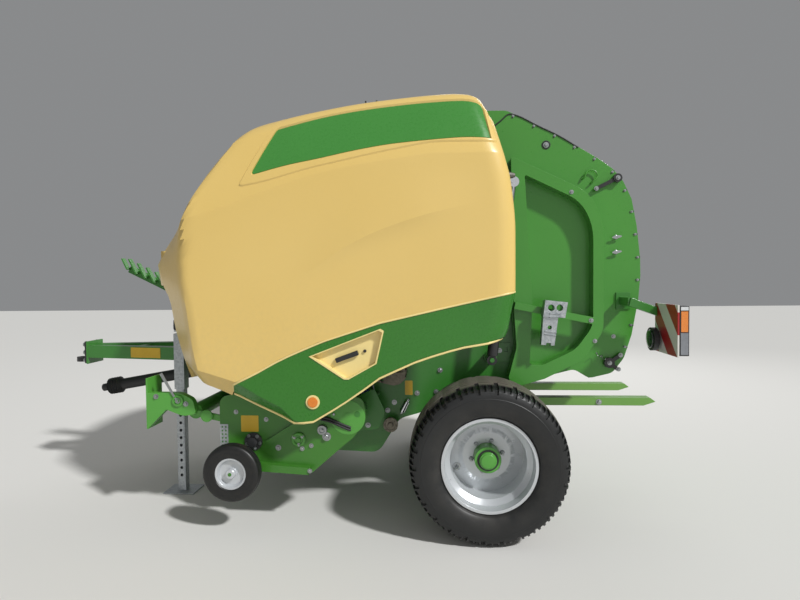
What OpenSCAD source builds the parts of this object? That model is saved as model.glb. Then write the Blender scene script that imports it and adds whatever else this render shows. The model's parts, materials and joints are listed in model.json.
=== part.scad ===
// Towed round baler with a variable chamber, parked on its jack.
// +X points to the rear, -Y to the machine's left side, +Z up, and the ground is at Z = 0.

/* [Overall] */
// Width inside the bale chamber
chamber_w = 1200; // [1100:10:1260]
// Thickness of the chamber's side walls
wall_t = 12; // [8:1:14]
// Height of the roof over the chamber
roof_z = 2855; // [2800:5:2900]
// Thickness of the roof sheet
roof_t = 10; // [5:1:14]

/* [Road wheels] */
// Radius of the tyre at the middle of its tread
tyre_r = 507; // [480:1:520]
// Width of the tyre
tyre_w = 500; // [440:5:520]
// Middle of the tyre, out from the machine's centre line
tyre_y = 1060; // [1050:5:1090]
// Radius of the rim's outer lip
rim_r = 300; // [280:1:310]
// Radius of the axle tube
axle_r = 55; // [45:1:65]
// Radius of the axle stub in the hub
stub_r = 30; // [25:1:36]
// Clearance of a shaft in its bore
run_gap = 0.05; // [0.02:0.01:0.1]
// Clearance between two still pieces that only lie beside each other
side_gap = 0.3; // [0.2:0.1:0.5]

/* [Hoods] */
// How far a side hood stands out from its seam
hood_depth = 400; // [380:5:420]
// Wall of the moulded hoods and front cover
shell_t = 22; // [16:1:26]
// Radius of the hood's hinge pins
hood_pin_r = 10; // [8:1:14]

/* [Tailgate] */
// Depth of the tailgate hinge below the roof
hinge_drop = 60; // [50:5:80]
// Tailgate hinge, back from the axle
hinge_x = 20; // [0:5:40]
// Radius of the tailgate's hinge pins
hinge_pin_r = 25; // [20:1:30]
// Thickness of a tailgate side plate
gate_t = 10; // [8:1:12]
// Gap between a chamber wall and the tailgate plate beside it
gate_gap = 12; // [8:1:20]
// Depth of the box frame on a tailgate side
frame_d = 100; // [80:2:110]

/* [Pickup] */
// Centre of the tined reel, from the axle
reel_x = -1580; // [-1600:5:-1560]
// Height of the tined reel's centre
reel_z = 575; // [560:5:590]
// Radius to the tips of the tines
tine_r = 235; // [220:1:240]
// Rows of tines around the reel
tine_rows = 5; // [4:1:6]
// Tines along one row
tine_count = 24; // [18:1:28]
// Inside width between the pickup's side plates
pickup_w = 1960; // [1900:10:1980]
// Pickup pivot, from the axle
pickup_pivot_x = -860; // [-880:5:-840]
// Height of the pickup pivot
pickup_pivot_z = 760; // [750:5:780]
// Radius of a gauge wheel
gauge_r = 190; // [180:1:195]
// Width of a gauge wheel
gauge_w = 95; // [80:1:100]

/* [Bale ramp] */
// Rear end of the ramp, from the axle
ramp_tip_x = 1340; // [1300:5:1380]
// Middle of a ramp beam, out from the centre line
ramp_y = 300; // [260:5:340]

/* [Drawbar] */
// Front end of the towing eye, from the axle
eye_front_x = -3500; // [-3550:5:-3450]
// Height of the towing eye
eye_z = 1000; // [960:5:1020]
// Bore of the towing eye
eye_bore_r = 20; // [19:0.5:26]
// Travel of the jack's leg
jack_travel = 330; // [300:5:360]
// Jack, from the axle
jack_x = -2360; // [-2400:5:-2340]
// Jack, out from the centre line
jack_y = 350; // [340:5:370]

/* [Hidden] */
$fn = 48;
// Middle of the machine to the wheel axle
axle_x = -(eye_front_x + ramp_tip_x) / 2;
axle_z = tyre_r;

// Layers from the centre line outwards
wall_y = chamber_w / 2;
wall_out_y = wall_y + wall_t;
gate_y = wall_out_y + gate_gap;
frame_y = gate_y + gate_t;
frame_out_y = frame_y + frame_d;
ram_y = frame_out_y + 51;
hood_hinge_y = frame_out_y + 66;
hood_seam_y = frame_out_y + 71;
hood_y = hood_seam_y + hood_depth;
roof_y = hood_hinge_y - 35;
plate_y = pickup_w / 2;

hinge_z = roof_z - hinge_drop;
hood_hinge_z = roof_z;
// Front and rear edges of the roof, from the axle
roof_x0 = -1284;
roof_x1 = -80;
// The roof slopes down in front of its bend
roof_bend_x = -830;
roof_fall = 75;
// Centre of the feed rotor, from the axle
rotor_x = -960;
rotor_z = 650;

// Front edge of the hoods: height, distance from the axle, width of the slanted edge
hood_front = [[940, -2080, 270], [1101, -2141, 280], [1320, -2203, 320], [1537, -2243, 325],
    [1646, -2290, 360], [1790, -2312, 385], [1912, -2248, 310], [roof_z - 787, -2155, 220],
    [roof_z - 618, -2040, 170], [roof_z - 450, -1926, 160], [roof_z - 159, -1716, 160],
    [roof_z - 55, -1640, 160]];
hood_front_x = [for (row = hood_front) [row[0], row[1]]];
hood_front_w = [for (row = hood_front) [row[0], row[2]]];
// Rear edge of the hoods: height, distance from the axle
hood_rear = [[1270, 76], [1313, 123], [1450, 152], [1605, 180], [1963, 181],
    [roof_z - 572, 152], [roof_z - 400, 110], [roof_z - 112, 45]];
// The hood's lines from front to rear, each as share of the way back and height: its lower edge,
// the shoulder, the raised lip, the lower and upper edge of the green band, and the top edge
hood_split = [[0, 975], [0.08, 1022], [0.136, 972], [0.19, 915], [0.212, 1002], [0.291, 1074], [0.374, 1164],
    [0.437, 1222], [0.546, 1317], [0.654, 1399], [0.81, 1485], [0.91, 1539], [1, 1587]];
hood_shoulder = [[0, roof_z - 825], [0.119, roof_z - 767], [0.186, roof_z - 709], [0.264, roof_z - 635],
    [0.343, roof_z - 572], [0.438, roof_z - 512], [0.543, roof_z - 468], [0.677, roof_z - 431],
    [0.802, roof_z - 407], [1, roof_z - 408]];
hood_lip = [[0, roof_z - 745], [0.2, roof_z - 590], [0.262, roof_z - 565], [0.386, roof_z - 491],
    [0.504, roof_z - 438], [0.648, roof_z - 380], [0.802, roof_z - 338], [1, roof_z - 345]];
band_low = [[0, roof_z - 640], [0.226, roof_z - 503], [0.323, roof_z - 449], [0.419, roof_z - 413],
    [0.527, roof_z - 369], [0.646, roof_z - 334], [0.769, roof_z - 316], [0.885, roof_z - 305],
    [1, roof_z - 318]];
band_high = [[0, roof_z - 300], [0.211, roof_z - 203], [0.361, roof_z - 134], [0.487, roof_z - 97],
    [0.625, roof_z - 71], [0.746, roof_z - 57], [0.88, roof_z - 50], [0.943, roof_z - 66],
    [0.965, roof_z - 90], [1, roof_z - 195]];
hood_top = [[0, roof_z - 205], [0.047, roof_z - 187], [0.114, roof_z - 111], [0.212, roof_z - 67],
    [0.325, roof_z - 30], [0.487, roof_z + 8], [0.646, roof_z + 32], [0.764, roof_z + 45],
    [0.845, roof_z + 49], [0.901, roof_z + 42], [0.939, roof_z + 20], [0.977, roof_z - 61],
    [1, roof_z - 115]];
// Lower edge of the skirt, and the line under which hood and skirt fold inwards
hood_bottom = [[0.2, 922], [0.291, 838], [0.391, 742], [0.446, 749], [0.528, 854], [0.654, 1034],
    [0.775, 1149], [0.889, 1225], [0.972, 1256], [1, 1276]];
hood_fold = [[0, 1105], [0.105, 1101], [0.16, 1063], [0.219, 1018], [0.278, 931], [0.351, 851], [0.402, 744]];
// How the surface leans in above the shoulder: share of the height, share of the depth
hood_crown = [[0, 0], [0.1, 0.03], [0.55, 0.2], [0.75, 0.3], [0.85, 0.38], [0.93, 0.52], [0.975, 0.72],
    [1, 1]];
// Share of the slanted front edge that is rounded
hood_round = 0.35;
hood_rear_w = 130;
hood_rear_drop = 75;
// Slope of the folded lower edge
fold_slope = 0.6;
// The lip stands out and the band's pocket lies in by these
lip_out = 8;
pocket_in = 4;
band_t = 3;
// Ends of the lip and of the band, as share of the way back
lip_start = 0.196;
band_start = 0.218;
band_stop = 0.965;
skirt_start = 0.2;

function mix(a, b, t) = a + (b - a) * t;
function unit(v) = v / norm(v);

// Corner b cut back by c and rounded with n steps
function corner(a, b, c, cut, n) =
    let (p = b + unit(a - b) * cut, q = b + unit(c - b) * cut)
    [for (i = [0:n]) let (t = i / n) (1 - t) * (1 - t) * p + 2 * t * (1 - t) * b + t * t * q];

// Outline from rows of x, z and how far the corner is cut back
function rounded(rows, n = 4) =
    [for (i = [0:len(rows) - 1])
        let (m = len(rows), a = rows[(i + m - 1) % m], b = rows[i], c = rows[(i + 1) % m])
        each (b[2] == 0 ? [[b[0], b[1]]]
            : corner([a[0], a[1]], [b[0], b[1]], [c[0], c[1]], b[2], n))];

// Everything is drawn from the axle and then set back to its place
module at_axle() translate([axle_x, 0, 0]) children();

module both_sides() {
    children();
    mirror([0, 1, 0]) children();
}

// One side, 1 for the right (+Y) and -1 for the left
module on_side(side) {
    if (side > 0) children();
    else mirror([0, 1, 0]) children();
}

// A flat outline in X and Z, made solid from y0 out to y1
module slab(y0, y1) translate([0, y1, 0]) rotate([90, 0, 0]) linear_extrude(y1 - y0) children();

// A round bar across the machine
module cross_bar(x, z, r, y0, y1) translate([x, y1, z]) rotate([90, 0, 0]) cylinder(h = y1 - y0, r = r);

// A straight square tube between two points in one side plane
module strut(a, b, w, y0, y1) {
    along = unit(b - a);
    out = [-along[1], along[0]] * w / 2;
    slab(y0, y1) polygon([a + out, b + out, b - out, a - out]);
}

// Closed shell between an outer and an inner grid of points, each rows by cols
module grid_shell(outer, inner, rows, cols) {
    count = rows * cols;
    function at(i, j, k) = k * count + i * cols + j;
    points = concat(outer, inner);
    skin = [for (i = [0:rows - 2], j = [0:cols - 2]) each [
        [at(i, j, 0), at(i + 1, j, 0), at(i + 1, j + 1, 0)],
        [at(i, j, 0), at(i + 1, j + 1, 0), at(i, j + 1, 0)],
        [at(i, j, 1), at(i + 1, j + 1, 1), at(i + 1, j, 1)],
        [at(i, j, 1), at(i, j + 1, 1), at(i + 1, j + 1, 1)]]];
    sides = [for (i = [0:rows - 2]) each [
        [at(i, 0, 0), at(i, 0, 1), at(i + 1, 0, 1)], [at(i, 0, 0), at(i + 1, 0, 1), at(i + 1, 0, 0)],
        [at(i, cols - 1, 0), at(i + 1, cols - 1, 1), at(i, cols - 1, 1)],
        [at(i, cols - 1, 0), at(i + 1, cols - 1, 0), at(i + 1, cols - 1, 1)]]];
    ends = [for (j = [0:cols - 2]) each [
        [at(0, j, 0), at(0, j + 1, 1), at(0, j, 1)], [at(0, j, 0), at(0, j + 1, 0), at(0, j + 1, 1)],
        [at(rows - 1, j, 0), at(rows - 1, j, 1), at(rows - 1, j + 1, 1)],
        [at(rows - 1, j, 0), at(rows - 1, j + 1, 1), at(rows - 1, j + 1, 0)]]];
    polyhedron(points, concat(skin, sides, ends));
}

// The hood's surface. A point lies at a share s of the way back and at a height z.
function hood_x(s, z) = mix(lookup(z, hood_front_x), lookup(z, hood_rear), s);
function hood_s(x, z) =
    (x - lookup(z, hood_front_x)) / (lookup(z, hood_rear) - lookup(z, hood_front_x));
// How far into an edge of this width a point lies, 0 on the flat and 1 at the end
function into(d, width) = max(0, min(1, 1 - d / width));
function slant(c) = (c < hood_round ? c * c / 2 / hood_round : c - hood_round / 2) / (1 - hood_round / 2);
function sag(c, depth) = depth * (1 - sqrt(1 - c * c));
function hood_skin(s, z) =
    let (
        x = hood_x(s, z),
        front = slant(into(x - lookup(z, hood_front_x), lookup(z, hood_front_w))),
        up = (z - lookup(s, hood_shoulder)) / (lookup(s, hood_top) - lookup(s, hood_shoulder)),
        crown = lookup(max(0, min(1, up)), hood_crown),
        rear = sag(into(lookup(z, hood_rear) - x, hood_rear_w), hood_rear_drop),
        fold = max(0, lookup(s, hood_fold) - z) * fold_slope
    )
    [x, hood_y - min((front + crown) * hood_depth + rear + fold, hood_depth), z];
// The same, set in along the surface's own normal
function hood_point(s, z, inset) =
    let (
        back = hood_skin(min(1, s + 0.004), z) - hood_skin(max(0, s - 0.004), z),
        rise = hood_skin(s, z + 3) - hood_skin(s, z - 3)
    )
    hood_skin(s, z) - inset * unit(cross(rise, back));

// Where the hood's grid has its stations from front to rear
hood_stations = concat(
    [for (i = [0:15]) i * 0.0125], [lip_start, skirt_start, 0.203, 0.212, band_start, 0.245, 0.27],
    [for (i = [0:7]) 0.3 + i * 0.03], [0.55, 0.6, 0.654, 0.7, 0.76, 0.81, 0.86, 0.9, 0.925, 0.95, band_stop],
    [0.968, 0.98, 0.99, 1]);
function stations(from, to) = [for (s = hood_stations) if (s >= from && s <= to) s];

// Heights of the hood's grid lines at one station, and how far each stands out of the lip or lies in the
// pocket
function hood_lines(s) =
    let (a = lookup(s, hood_split), b = lookup(s, hood_shoulder), c = lookup(s, hood_lip),
        d = lookup(s, band_low), e = lookup(s, band_high), f = lookup(s, hood_top))
    [a, mix(a, b, 0.2), mix(a, b, 0.4), mix(a, b, 0.6), mix(a, b, 0.8), b, mix(b, c, 0.5), c, c + 14, d - 9,
        d,
        mix(d, e, 0.33), mix(d, e, 0.66), e, e + 9, mix(e + 9, f, 0.4), mix(e + 9, f, 0.75), f];
lip_lines = [8, 9, 10, 11, 12, 13, 14, 15];
band_lines = [10, 11, 12, 13];
function in_list(j, list) = len([for (k = list) if (k == j) k]) > 0;
function relief(s, j) =
    in_list(j, band_lines) && s >= band_start && s <= band_stop ? pocket_in
    : in_list(j, lip_lines) && s > lip_start && s < 0.985 ? -lip_out : 0;

// A closed sheet on the hood's surface between two lines, from one inset to another. Its edges stay off
// the lines by a gap.
module hood_sheet(low, high, from, to, outer, inner, cols = 3, gap = 0) {
    list = stations(from, to);
    function layer(inset) = [for (s = list, j = [0:cols - 1]) let (t = j / (cols - 1))
        hood_point(s, mix(lookup(s, low), lookup(s, high), t), inset - (outer < 0 && t > 0 && t < 1 ? 2 : 0))
        + [0, 0, t == 0 ? gap : t == 1 ? -gap : 0]];
    grid_shell(layer(outer), layer(inner), len(list), cols);
}
function moved(table, dz) = [for (row = table) [row[0], row[1] + dz]];
// Width of the light bead along the edges of a skirt
bead_w = 13;
bead_out = 5;
// Grip in the skirt, as x and z from the axle
grip_outline = [[-1136, 1180], [-911, 1033], [-880, 1033], [-701, 1133], [-652, 1342], [-675, 1356]];
grip_middle = [-830, 1190];
grip_depth = 45;
grip_wall = 6;
function grip(shrink) = [for (p = grip_outline) mix(p, grip_middle, shrink)];
reflector_at = [-1113, 888];
module hood_skirt(side) {
    color("#3c8a34") at_axle() on_side(side) difference() {
        hood_sheet(moved(hood_bottom, bead_w), moved(hood_split, -bead_w), skirt_start, 1, 0, shell_t, 5,
            5 * side_gap);
        slab(hood_y - shell_t - 10, hood_y + 10) polygon(grip(-0.003));
    }
}
module hood_trim(side) {
    color("#ecd68f") at_axle() on_side(side) {
        hood_sheet(moved(hood_split, -bead_w), moved(hood_split, -side_gap), skirt_start, 1, -bead_out,
            shell_t);
        hood_sheet(hood_bottom, moved(hood_bottom, bead_w), skirt_start, 1, -bead_out, shell_t);
        // Tray of the grip, with its rim standing out a little
        slab(hood_y - grip_depth, hood_y + bead_out) difference() {
            polygon(grip(0));
            polygon(grip(0.07));
        }
        slab(hood_y - grip_depth, hood_y - grip_depth + grip_wall) polygon(grip(0.04));
        slab(hood_y + side_gap, hood_y + 9) translate(reflector_at) circle(r = 45);
    }
}
module hood_handle(side) {
    color("#222") at_axle() on_side(side) {
        strut([-965, 1150], [-822, 1202], 30, hood_y - grip_depth + grip_wall + side_gap, hood_y - 12);
        cross_bar(-779, 1211, 10, hood_y - grip_depth + grip_wall + side_gap, hood_y - 26);
    }
}
// Green band along the top of a hood, in its pocket
module hood_band(side) {
    list = stations(band_start, band_stop);
    function layer(inset) = [for (s = list, j = band_lines) hood_point(s, hood_lines(s)[j]
        + (j == 10 ? 0.4 : j == 13 ? -0.4 : 0), inset)];
    color("#3c8a34") at_axle() on_side(side)
        grid_shell(layer(pocket_in - band_t - side_gap), layer(pocket_in - side_gap), len(list),
            len(band_lines));
}

// Hood hinges, from the axle
hood_hinge_xs = [-750, -200];
knuckle_l = 60;
notch_l = 92;

// A block outline in Y and Z, made solid from x0 to x1
module rib_x(x0, x1) translate([x0, 0, 0]) rotate([90, 0, 90]) linear_extrude(x1 - x0) children();
module bar_x(y, z, r, x0, x1) translate([x0, y, z]) rotate([0, 90, 0]) cylinder(h = x1 - x0, r = r);

module hood(side) {
    cols = len(hood_lines(0));
    outer = [for (s = hood_stations, j = [0:cols - 1]) hood_point(s, hood_lines(s)[j], relief(s, j))];
    inner = [for (s = hood_stations, j = [0:cols - 1]) hood_point(s, hood_lines(s)[j], shell_t)];
    color("#e8cf85") at_axle() on_side(side) {
        difference() {
            grid_shell(outer, inner, len(hood_stations), cols);
            // Room for the roof's knuckles
            for (x = hood_hinge_xs) translate([x - notch_l / 2, roof_y, roof_z - 100])
                cube([notch_l, hood_hinge_y + 36 - roof_y, 200]);
        }
        for (x = hood_hinge_xs) {
            top = lookup(hood_s(x, roof_z), hood_top);
            bar_x(hood_hinge_y, hood_hinge_z, hood_pin_r, x - knuckle_l / 2 - 12, x + knuckle_l / 2 + 12);
            for (end = [-1, 1])
                rib_x(x + end * (knuckle_l / 2 + 7) - 6, x + end * (knuckle_l / 2 + 7) + 6)
                    polygon([
                        [hood_hinge_y - 12, hood_hinge_z - 12], [hood_hinge_y - 12, hood_hinge_z + 8],
                        [hood_hinge_y + 60, top - 12], [hood_hinge_y + 110, top - 14],
                        [hood_hinge_y + 110, top - 50], [hood_hinge_y + 20, hood_hinge_z - 20]]);
        }
    }
}

// Radius of the stub tubes that the pickup swings on, and of their pins
pivot_r = 38;
pivot_pin_r = 20;
// Thickness of the pickup's side plates
plate_t = 10;

// Side walls of the chamber, with the lugs of the tailgate hinge and the plates down to the axle
wall_outline = [ [-2070, 1180, 40], [-2040, 880, 40], [-1700, 850, 60], [rotor_x - 370, 880, 0],
    [rotor_x - 275, rotor_z - 10, 60], [rotor_x - 170, rotor_z - 250, 60],
    [rotor_x + 200, rotor_z - 265, 60], [rotor_x + 360, rotor_z - 10, 40], [-190, 760, 30],
    [-110, axle_z - 87, 20], [110, axle_z - 87, 20], [190, 800, 30], [300, 1040, 20], [205, 1440, 20],
    [200, hinge_z - 415, 40], [90, hinge_z - 155, 60], [55, hinge_z - 5, 0], [-20, hinge_z - 5, 0],
    [-50, roof_z - roof_t, 0], [roof_bend_x, roof_z - roof_t, 0],
    [roof_x0 + 4, roof_z - roof_fall - roof_t, 0], [roof_x0 + 2, roof_z - roof_fall - 28, 0],
    [-1540, roof_z - 150, 60], [-1660, roof_z - 255, 60], [-2060, 1940, 60], [-2080, 1500, 60]];
module chassis_walls() {
    color("#2f7a2c") at_axle() both_sides() difference() {
        slab(wall_y, wall_out_y) {
            polygon(rounded(wall_outline));
            translate([hinge_x, hinge_z]) circle(r = hinge_pin_r + 23);
        }
        cross_bar(hinge_x, hinge_z, hinge_pin_r + run_gap, wall_y - 1, wall_out_y + 1);
        cross_bar(0, axle_z, axle_r + side_gap, wall_y - 1, wall_out_y + 1);
        cross_bar(rotor_x, rotor_z, rotor_shaft_r + run_gap, wall_y - 1, wall_out_y + 1);
    }
}

// Stub tubes that the pickup swings on, and the pins at the feet of the tailgate cylinders
module side_pins() {
    color("#2f7a2c") at_axle() both_sides() {
        cross_bar(pickup_pivot_x, pickup_pivot_z, pivot_r, wall_out_y, plate_y - 6);
        cross_bar(pickup_pivot_x, pickup_pivot_z, pivot_pin_r, plate_y - 10, plate_y + plate_t + 6);
        cross_bar(ram_foot[0], ram_foot[1], ram_pin_r + 26, wall_out_y, ram_y - ram_r - 6);
        cross_bar(ram_foot[0], ram_foot[1], ram_pin_r, ram_y - ram_r - 8, ram_y + ram_pin_reach);
    }
}

// Square tubes across between the walls: x, z, width, height
cross_tubes = [[-1880, 1180, 100, 100], [-1560, 1090, 80, 120], [-1300, roof_z - 190, 100, 100],
    [-140, roof_z - 95, 80, 80], [-250, 790, 120, 90]];
tube_wall = 8;
module cross_frame() {
    color("#2f7a2c") at_axle() for (row = cross_tubes)
        translate([row[0] - row[2] / 2, -wall_y, row[1] - row[3] / 2]) difference() {
            cube([row[2], 2 * wall_y, row[3]]);
            translate([tube_wall, -1, tube_wall])
                cube([row[2] - 2 * tube_wall, 2 * wall_y + 2, row[3] - 2 * tube_wall]);
        }
}

module roof() {
    color("#3c8a34") at_axle() {
        slab(-roof_y, roof_y) polygon([[roof_x1, roof_z - roof_t], [roof_x1, roof_z], [roof_bend_x, roof_z],
            [roof_x0, roof_z - roof_fall], [roof_x0, roof_z - roof_fall - roof_t],
                [roof_bend_x, roof_z - roof_t]]);
        both_sides() for (x = hood_hinge_xs) difference() {
            union() {
                bar_x(hood_hinge_y, hood_hinge_z, hood_pin_r + 8, x - knuckle_l / 2, x + knuckle_l / 2);
                translate([x - knuckle_l / 2, roof_y - 40, roof_z - roof_t - 14])
                    cube([knuckle_l, hood_hinge_y - roof_y + 34, 14]);
                translate([x - knuckle_l / 2, roof_y - 10, roof_z - roof_t - 14])
                    cube([knuckle_l, 36, 24]);
            }
            bar_x(hood_hinge_y, hood_hinge_z, hood_pin_r + run_gap, x - knuckle_l, x + knuckle_l);
        }
    }
}

// Front cover between the hoods: seam x, seam z, centre x, centre z
cover_low_z = 1165;
cover_seam = 15;
// The cover ends this far inside the hoods' seam
cover_gap = 25;
cover_profile = [
    [-2159, cover_low_z, -2195, cover_low_z], [-2218, 1400, -2255, 1400], [-2275, 1610, -2300, 1600],
    [-2290, 1650, -2545, 1640], [-2308, 1800, -2570, 1800], [-2243, 1920, -2540, 1870],
    [-2011, roof_z - 575, -2200, roof_z - 525], [-1770, roof_z - 235, -1900, roof_z - 150],
    [-1665, roof_z - 195, -1790, roof_z - 105], [-1484, roof_z - 125, -1600, roof_z - 80],
    [-1330, roof_z - 85, -1310, roof_z - 62]];
cover_cols = 15;
function cover_point(row, u, inset) =
    let (w = pow(abs(u), 2.6), a = [row[2], row[3]], b = [row[0] + cover_seam, row[1]], p = mix(a, b, w))
    [p[0] + inset, u * (hood_seam_y - cover_gap), p[1] - (row[3] > 2300 ? inset * 0.7 : 0)];
module front_cover() {
    rows = len(cover_profile);
    function layer(inset) = [for (i = [0:rows - 1], j = [0:cover_cols - 1])
        cover_point(cover_profile[i], 1 - 2 * j / (cover_cols - 1), inset)];
    color("#e0c67c") at_axle() difference() {
        union() {
            grid_shell(layer(0), layer(shell_t), rows, cover_cols);
            // Tabs that hold the cover to the walls: front end, height
            both_sides() for (tab = [[-2168, 1200], [-2385, 1850]])
                translate([tab[0], wall_out_y + side_gap, tab[1]]) cube([-2045 - tab[0], 30, 50]);
        }
        // Slot for the hose holder's arm
        translate([-2330, -50, 1385]) cube([180, 100, 130]);
    }
}

// Drawbar: two box beams that meet at the towing eye
beam_h = 105;
beam_w = 90;
nose_x = eye_front_x + 150;
beam_rear_x = -1840;
beam_front_y = 62;
beam_rear_y = 345;
beam_z = eye_z + 25;
function beam_y(x) = mix(beam_front_y, beam_rear_y, (x - nose_x) / (beam_rear_x - nose_x));
module drawbar() {
    color("#2f7a2c") at_axle() {
        both_sides() difference() {
            linear_beam(0);
            linear_beam(8);
        }
        translate([nose_x, -110, eye_z - 30]) cube([14, 220, beam_h + 90]);
        for (x = [nose_x + 420, -2560]) {
            half = beam_y(x) - beam_w / 2 + 6;
            translate([x, -half, beam_z + 10]) cube([60, 2 * half, beam_h - 20]);
        }
        // Bracket that carries the jack
        translate([jack_x - 60, -jack_y - 20, beam_z + 12]) cube([120, 90, beam_h - 24]);
    }
}
// One beam of the drawbar, hollow by its wall
module linear_beam(wall) {
    side = beam_w / 2 - wall;
    translate([0, 0, beam_z + wall]) linear_extrude(beam_h - 2 * wall)
        polygon([[nose_x + 14 - wall, beam_front_y - side], [nose_x + 14 - wall, beam_front_y + side],
            [beam_rear_x + wall, beam_rear_y + side], [beam_rear_x + wall, beam_rear_y - side]]);
}

module towing_eye() {
    color("#333") at_axle() difference() {
        union() {
            translate([eye_front_x + 50, 0, eye_z - 20]) cylinder(h = 40, r = 50);
            translate([eye_front_x + 50, -32, eye_z - 20]) cube([90, 64, 40]);
            translate([nose_x - 20, -100, eye_z - 25]) cube([20, 200, beam_h + 80]);
        }
        translate([eye_front_x + 50, 0, eye_z - 30]) cylinder(h = 60, r = eye_bore_r);
    }
}

// Jack: a square tube with the leg sliding in it
jack_w = 80;
leg_w = 64;
jack_foot = 820;
leg_top = jack_foot + 60;
jack_top = leg_top + jack_travel + 50;
module jack_tube() {
    color("#9a9a98") at_axle() translate([jack_x, -jack_y - 60, 0]) {
        difference() {
            translate([-jack_w / 2, -jack_w / 2, jack_foot]) cube([jack_w, jack_w, jack_top - jack_foot]);
            translate([-leg_w / 2 - side_gap, -leg_w / 2 - side_gap, jack_foot - 1])
                cube([leg_w + 2 * side_gap, leg_w + 2 * side_gap, jack_top - jack_foot - 20]);
        }
        translate([0, 0, jack_top]) cylinder(h = 30, r = 14);
        translate([0, -110, jack_top + 22]) cube([14, 130, 14]);
    }
}
module jack_leg() {
    color("#8d8d8b") at_axle() translate([jack_x, -jack_y - 60, 0]) {
        difference() {
            translate([-leg_w / 2, -leg_w / 2, 10]) cube([leg_w, leg_w, leg_top - 10]);
            translate([-leg_w / 2 + 6, -leg_w / 2 + 6, 40]) cube([leg_w - 12, leg_w - 12, leg_top]);
        }
        translate([-125, -100, 0]) cube([250, 200, 10]);
    }
}

// Driveline: the shaft slopes up to the gearbox between the beams
gearbox_h = 270;
gearbox_w = 280;
gearbox_l = 250;
shaft_end = [-2100, 950];
shaft_front = [-3270, 745];
shaft_turn = atan2(shaft_end[1] - shaft_front[1], shaft_end[0] - shaft_front[0]);
shaft_l = norm(shaft_end - shaft_front);
module driveshaft() {
    color("#2b2b2b") at_axle() along_shaft() {
        cylinder(h = 90, r = 32);
        translate([0, 0, 70]) cylinder(h = 120, r = 72);
        translate([0, 0, 180]) cylinder(h = shaft_l - 330, r = 48);
        translate([0, 0, shaft_l - 160]) cylinder(h = 140, r = 72);
    }
}
// The shaft's own direction, from its front end
module along_shaft() translate([shaft_front[0], 0, shaft_front[1]]) rotate([0, 90 - shaft_turn,
    0]) children();
module gearbox() {
    color("#2f7a2c") at_axle() {
        translate([shaft_end[0], -gearbox_w / 2, 860]) cube([gearbox_l, gearbox_w, gearbox_h - side_gap]);
        along_shaft() translate([0, 0, shaft_l - 20 + side_gap]) cylinder(h = 60, r = 36);
        both_sides() cross_bar(shaft_end[0] + 140, shaft_end[1], 40, gearbox_w / 2 - 10, wall_y - side_gap);
    }
}

// Arm that holds the hoses, with a comb of clips
comb_n = 6;
module hose_holder() {
    a = [-2320, 1455];
    b = [-2990, 1785];
    color("#2f7a2c") at_axle() {
        strut(a, b, 56, -28, 28);
        strut([-1860, 1400], a, 56, -28, 28);
        translate([a[0], 28, a[1]]) rotate([90, 0, 0]) cylinder(h = 56, r = 28);
        translate([-1915, -28, 1230]) cube([60, 56, 190]);
        for (i = [0:comb_n - 1], side = [-1, 1]) {
            p = mix(a, b, 0.4 + 0.59 * i / (comb_n - 1));
            strut(p, p + [-45, 95], 12, side * 53 - 26, side * 53 + 26);
        }
    }
}

module axle() {
    color("#4a9a3e") at_axle() {
        cross_bar(0, axle_z, axle_r, -925, 925);
        both_sides() cross_bar(0, axle_z, stub_r, 920, 1128);
    }
}

// Long beams that a bale rolls down over, from under the rear cross tube
ramp_root_x = -305;
ramp_w = 90;
ramp_h = 60;
ramp_top = 745;
module bale_ramp() {
    color("#7db35a") at_axle() {
        both_sides() slab(ramp_y - ramp_w / 2,
            ramp_y + ramp_w / 2) translate([0, ramp_top - side_gap]) polygon([
            [ramp_root_x, 0], [ramp_root_x, -ramp_h], [ramp_tip_x - 90, -ramp_h], [ramp_tip_x, -ramp_h / 2],
            [ramp_tip_x - 40, 0]]);
        cross_bar(330, ramp_top - 25, 34, -wall_y + side_gap, wall_y - side_gap);
    }
}

rotor_r = 215;
rotor_shaft_r = 40;
rotor_stars = 12;
module feed_rotor() {
    color("#777a78") at_axle() {
        cross_bar(rotor_x, rotor_z, 95, -wall_y + 8, wall_y - 8);
        cross_bar(rotor_x, rotor_z, rotor_shaft_r, -wall_out_y - 20, wall_out_y + 20);
        for (i = [0:rotor_stars - 1]) {
            y = mix(-wall_y + 40, wall_y - 40, i / (rotor_stars - 1));
            translate([rotor_x, y + 5, rotor_z]) rotate([90, 0, 0]) rotate(i * 37) linear_extrude(10)
                for (k = [0:2]) rotate(120 * k)
                    polygon([[60, -60], [150, -52], [rotor_r - 8, 6], [rotor_r, 22], [150, 30], [60, 60]]);
        }
    }
}
module feed_floor() {
    color("#5b6f52") at_axle() translate([rotor_x, wall_y - side_gap, rotor_z]) rotate([90, 0, 0])
        linear_extrude(2 * (wall_y - side_gap)) difference() {
            circle(r = rotor_r + 30);
            circle(r = rotor_r + 22);
            translate([-400, -80]) square([800, 500]);
            translate([150, -400]) square([300, 500]);
        }
}

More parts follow.
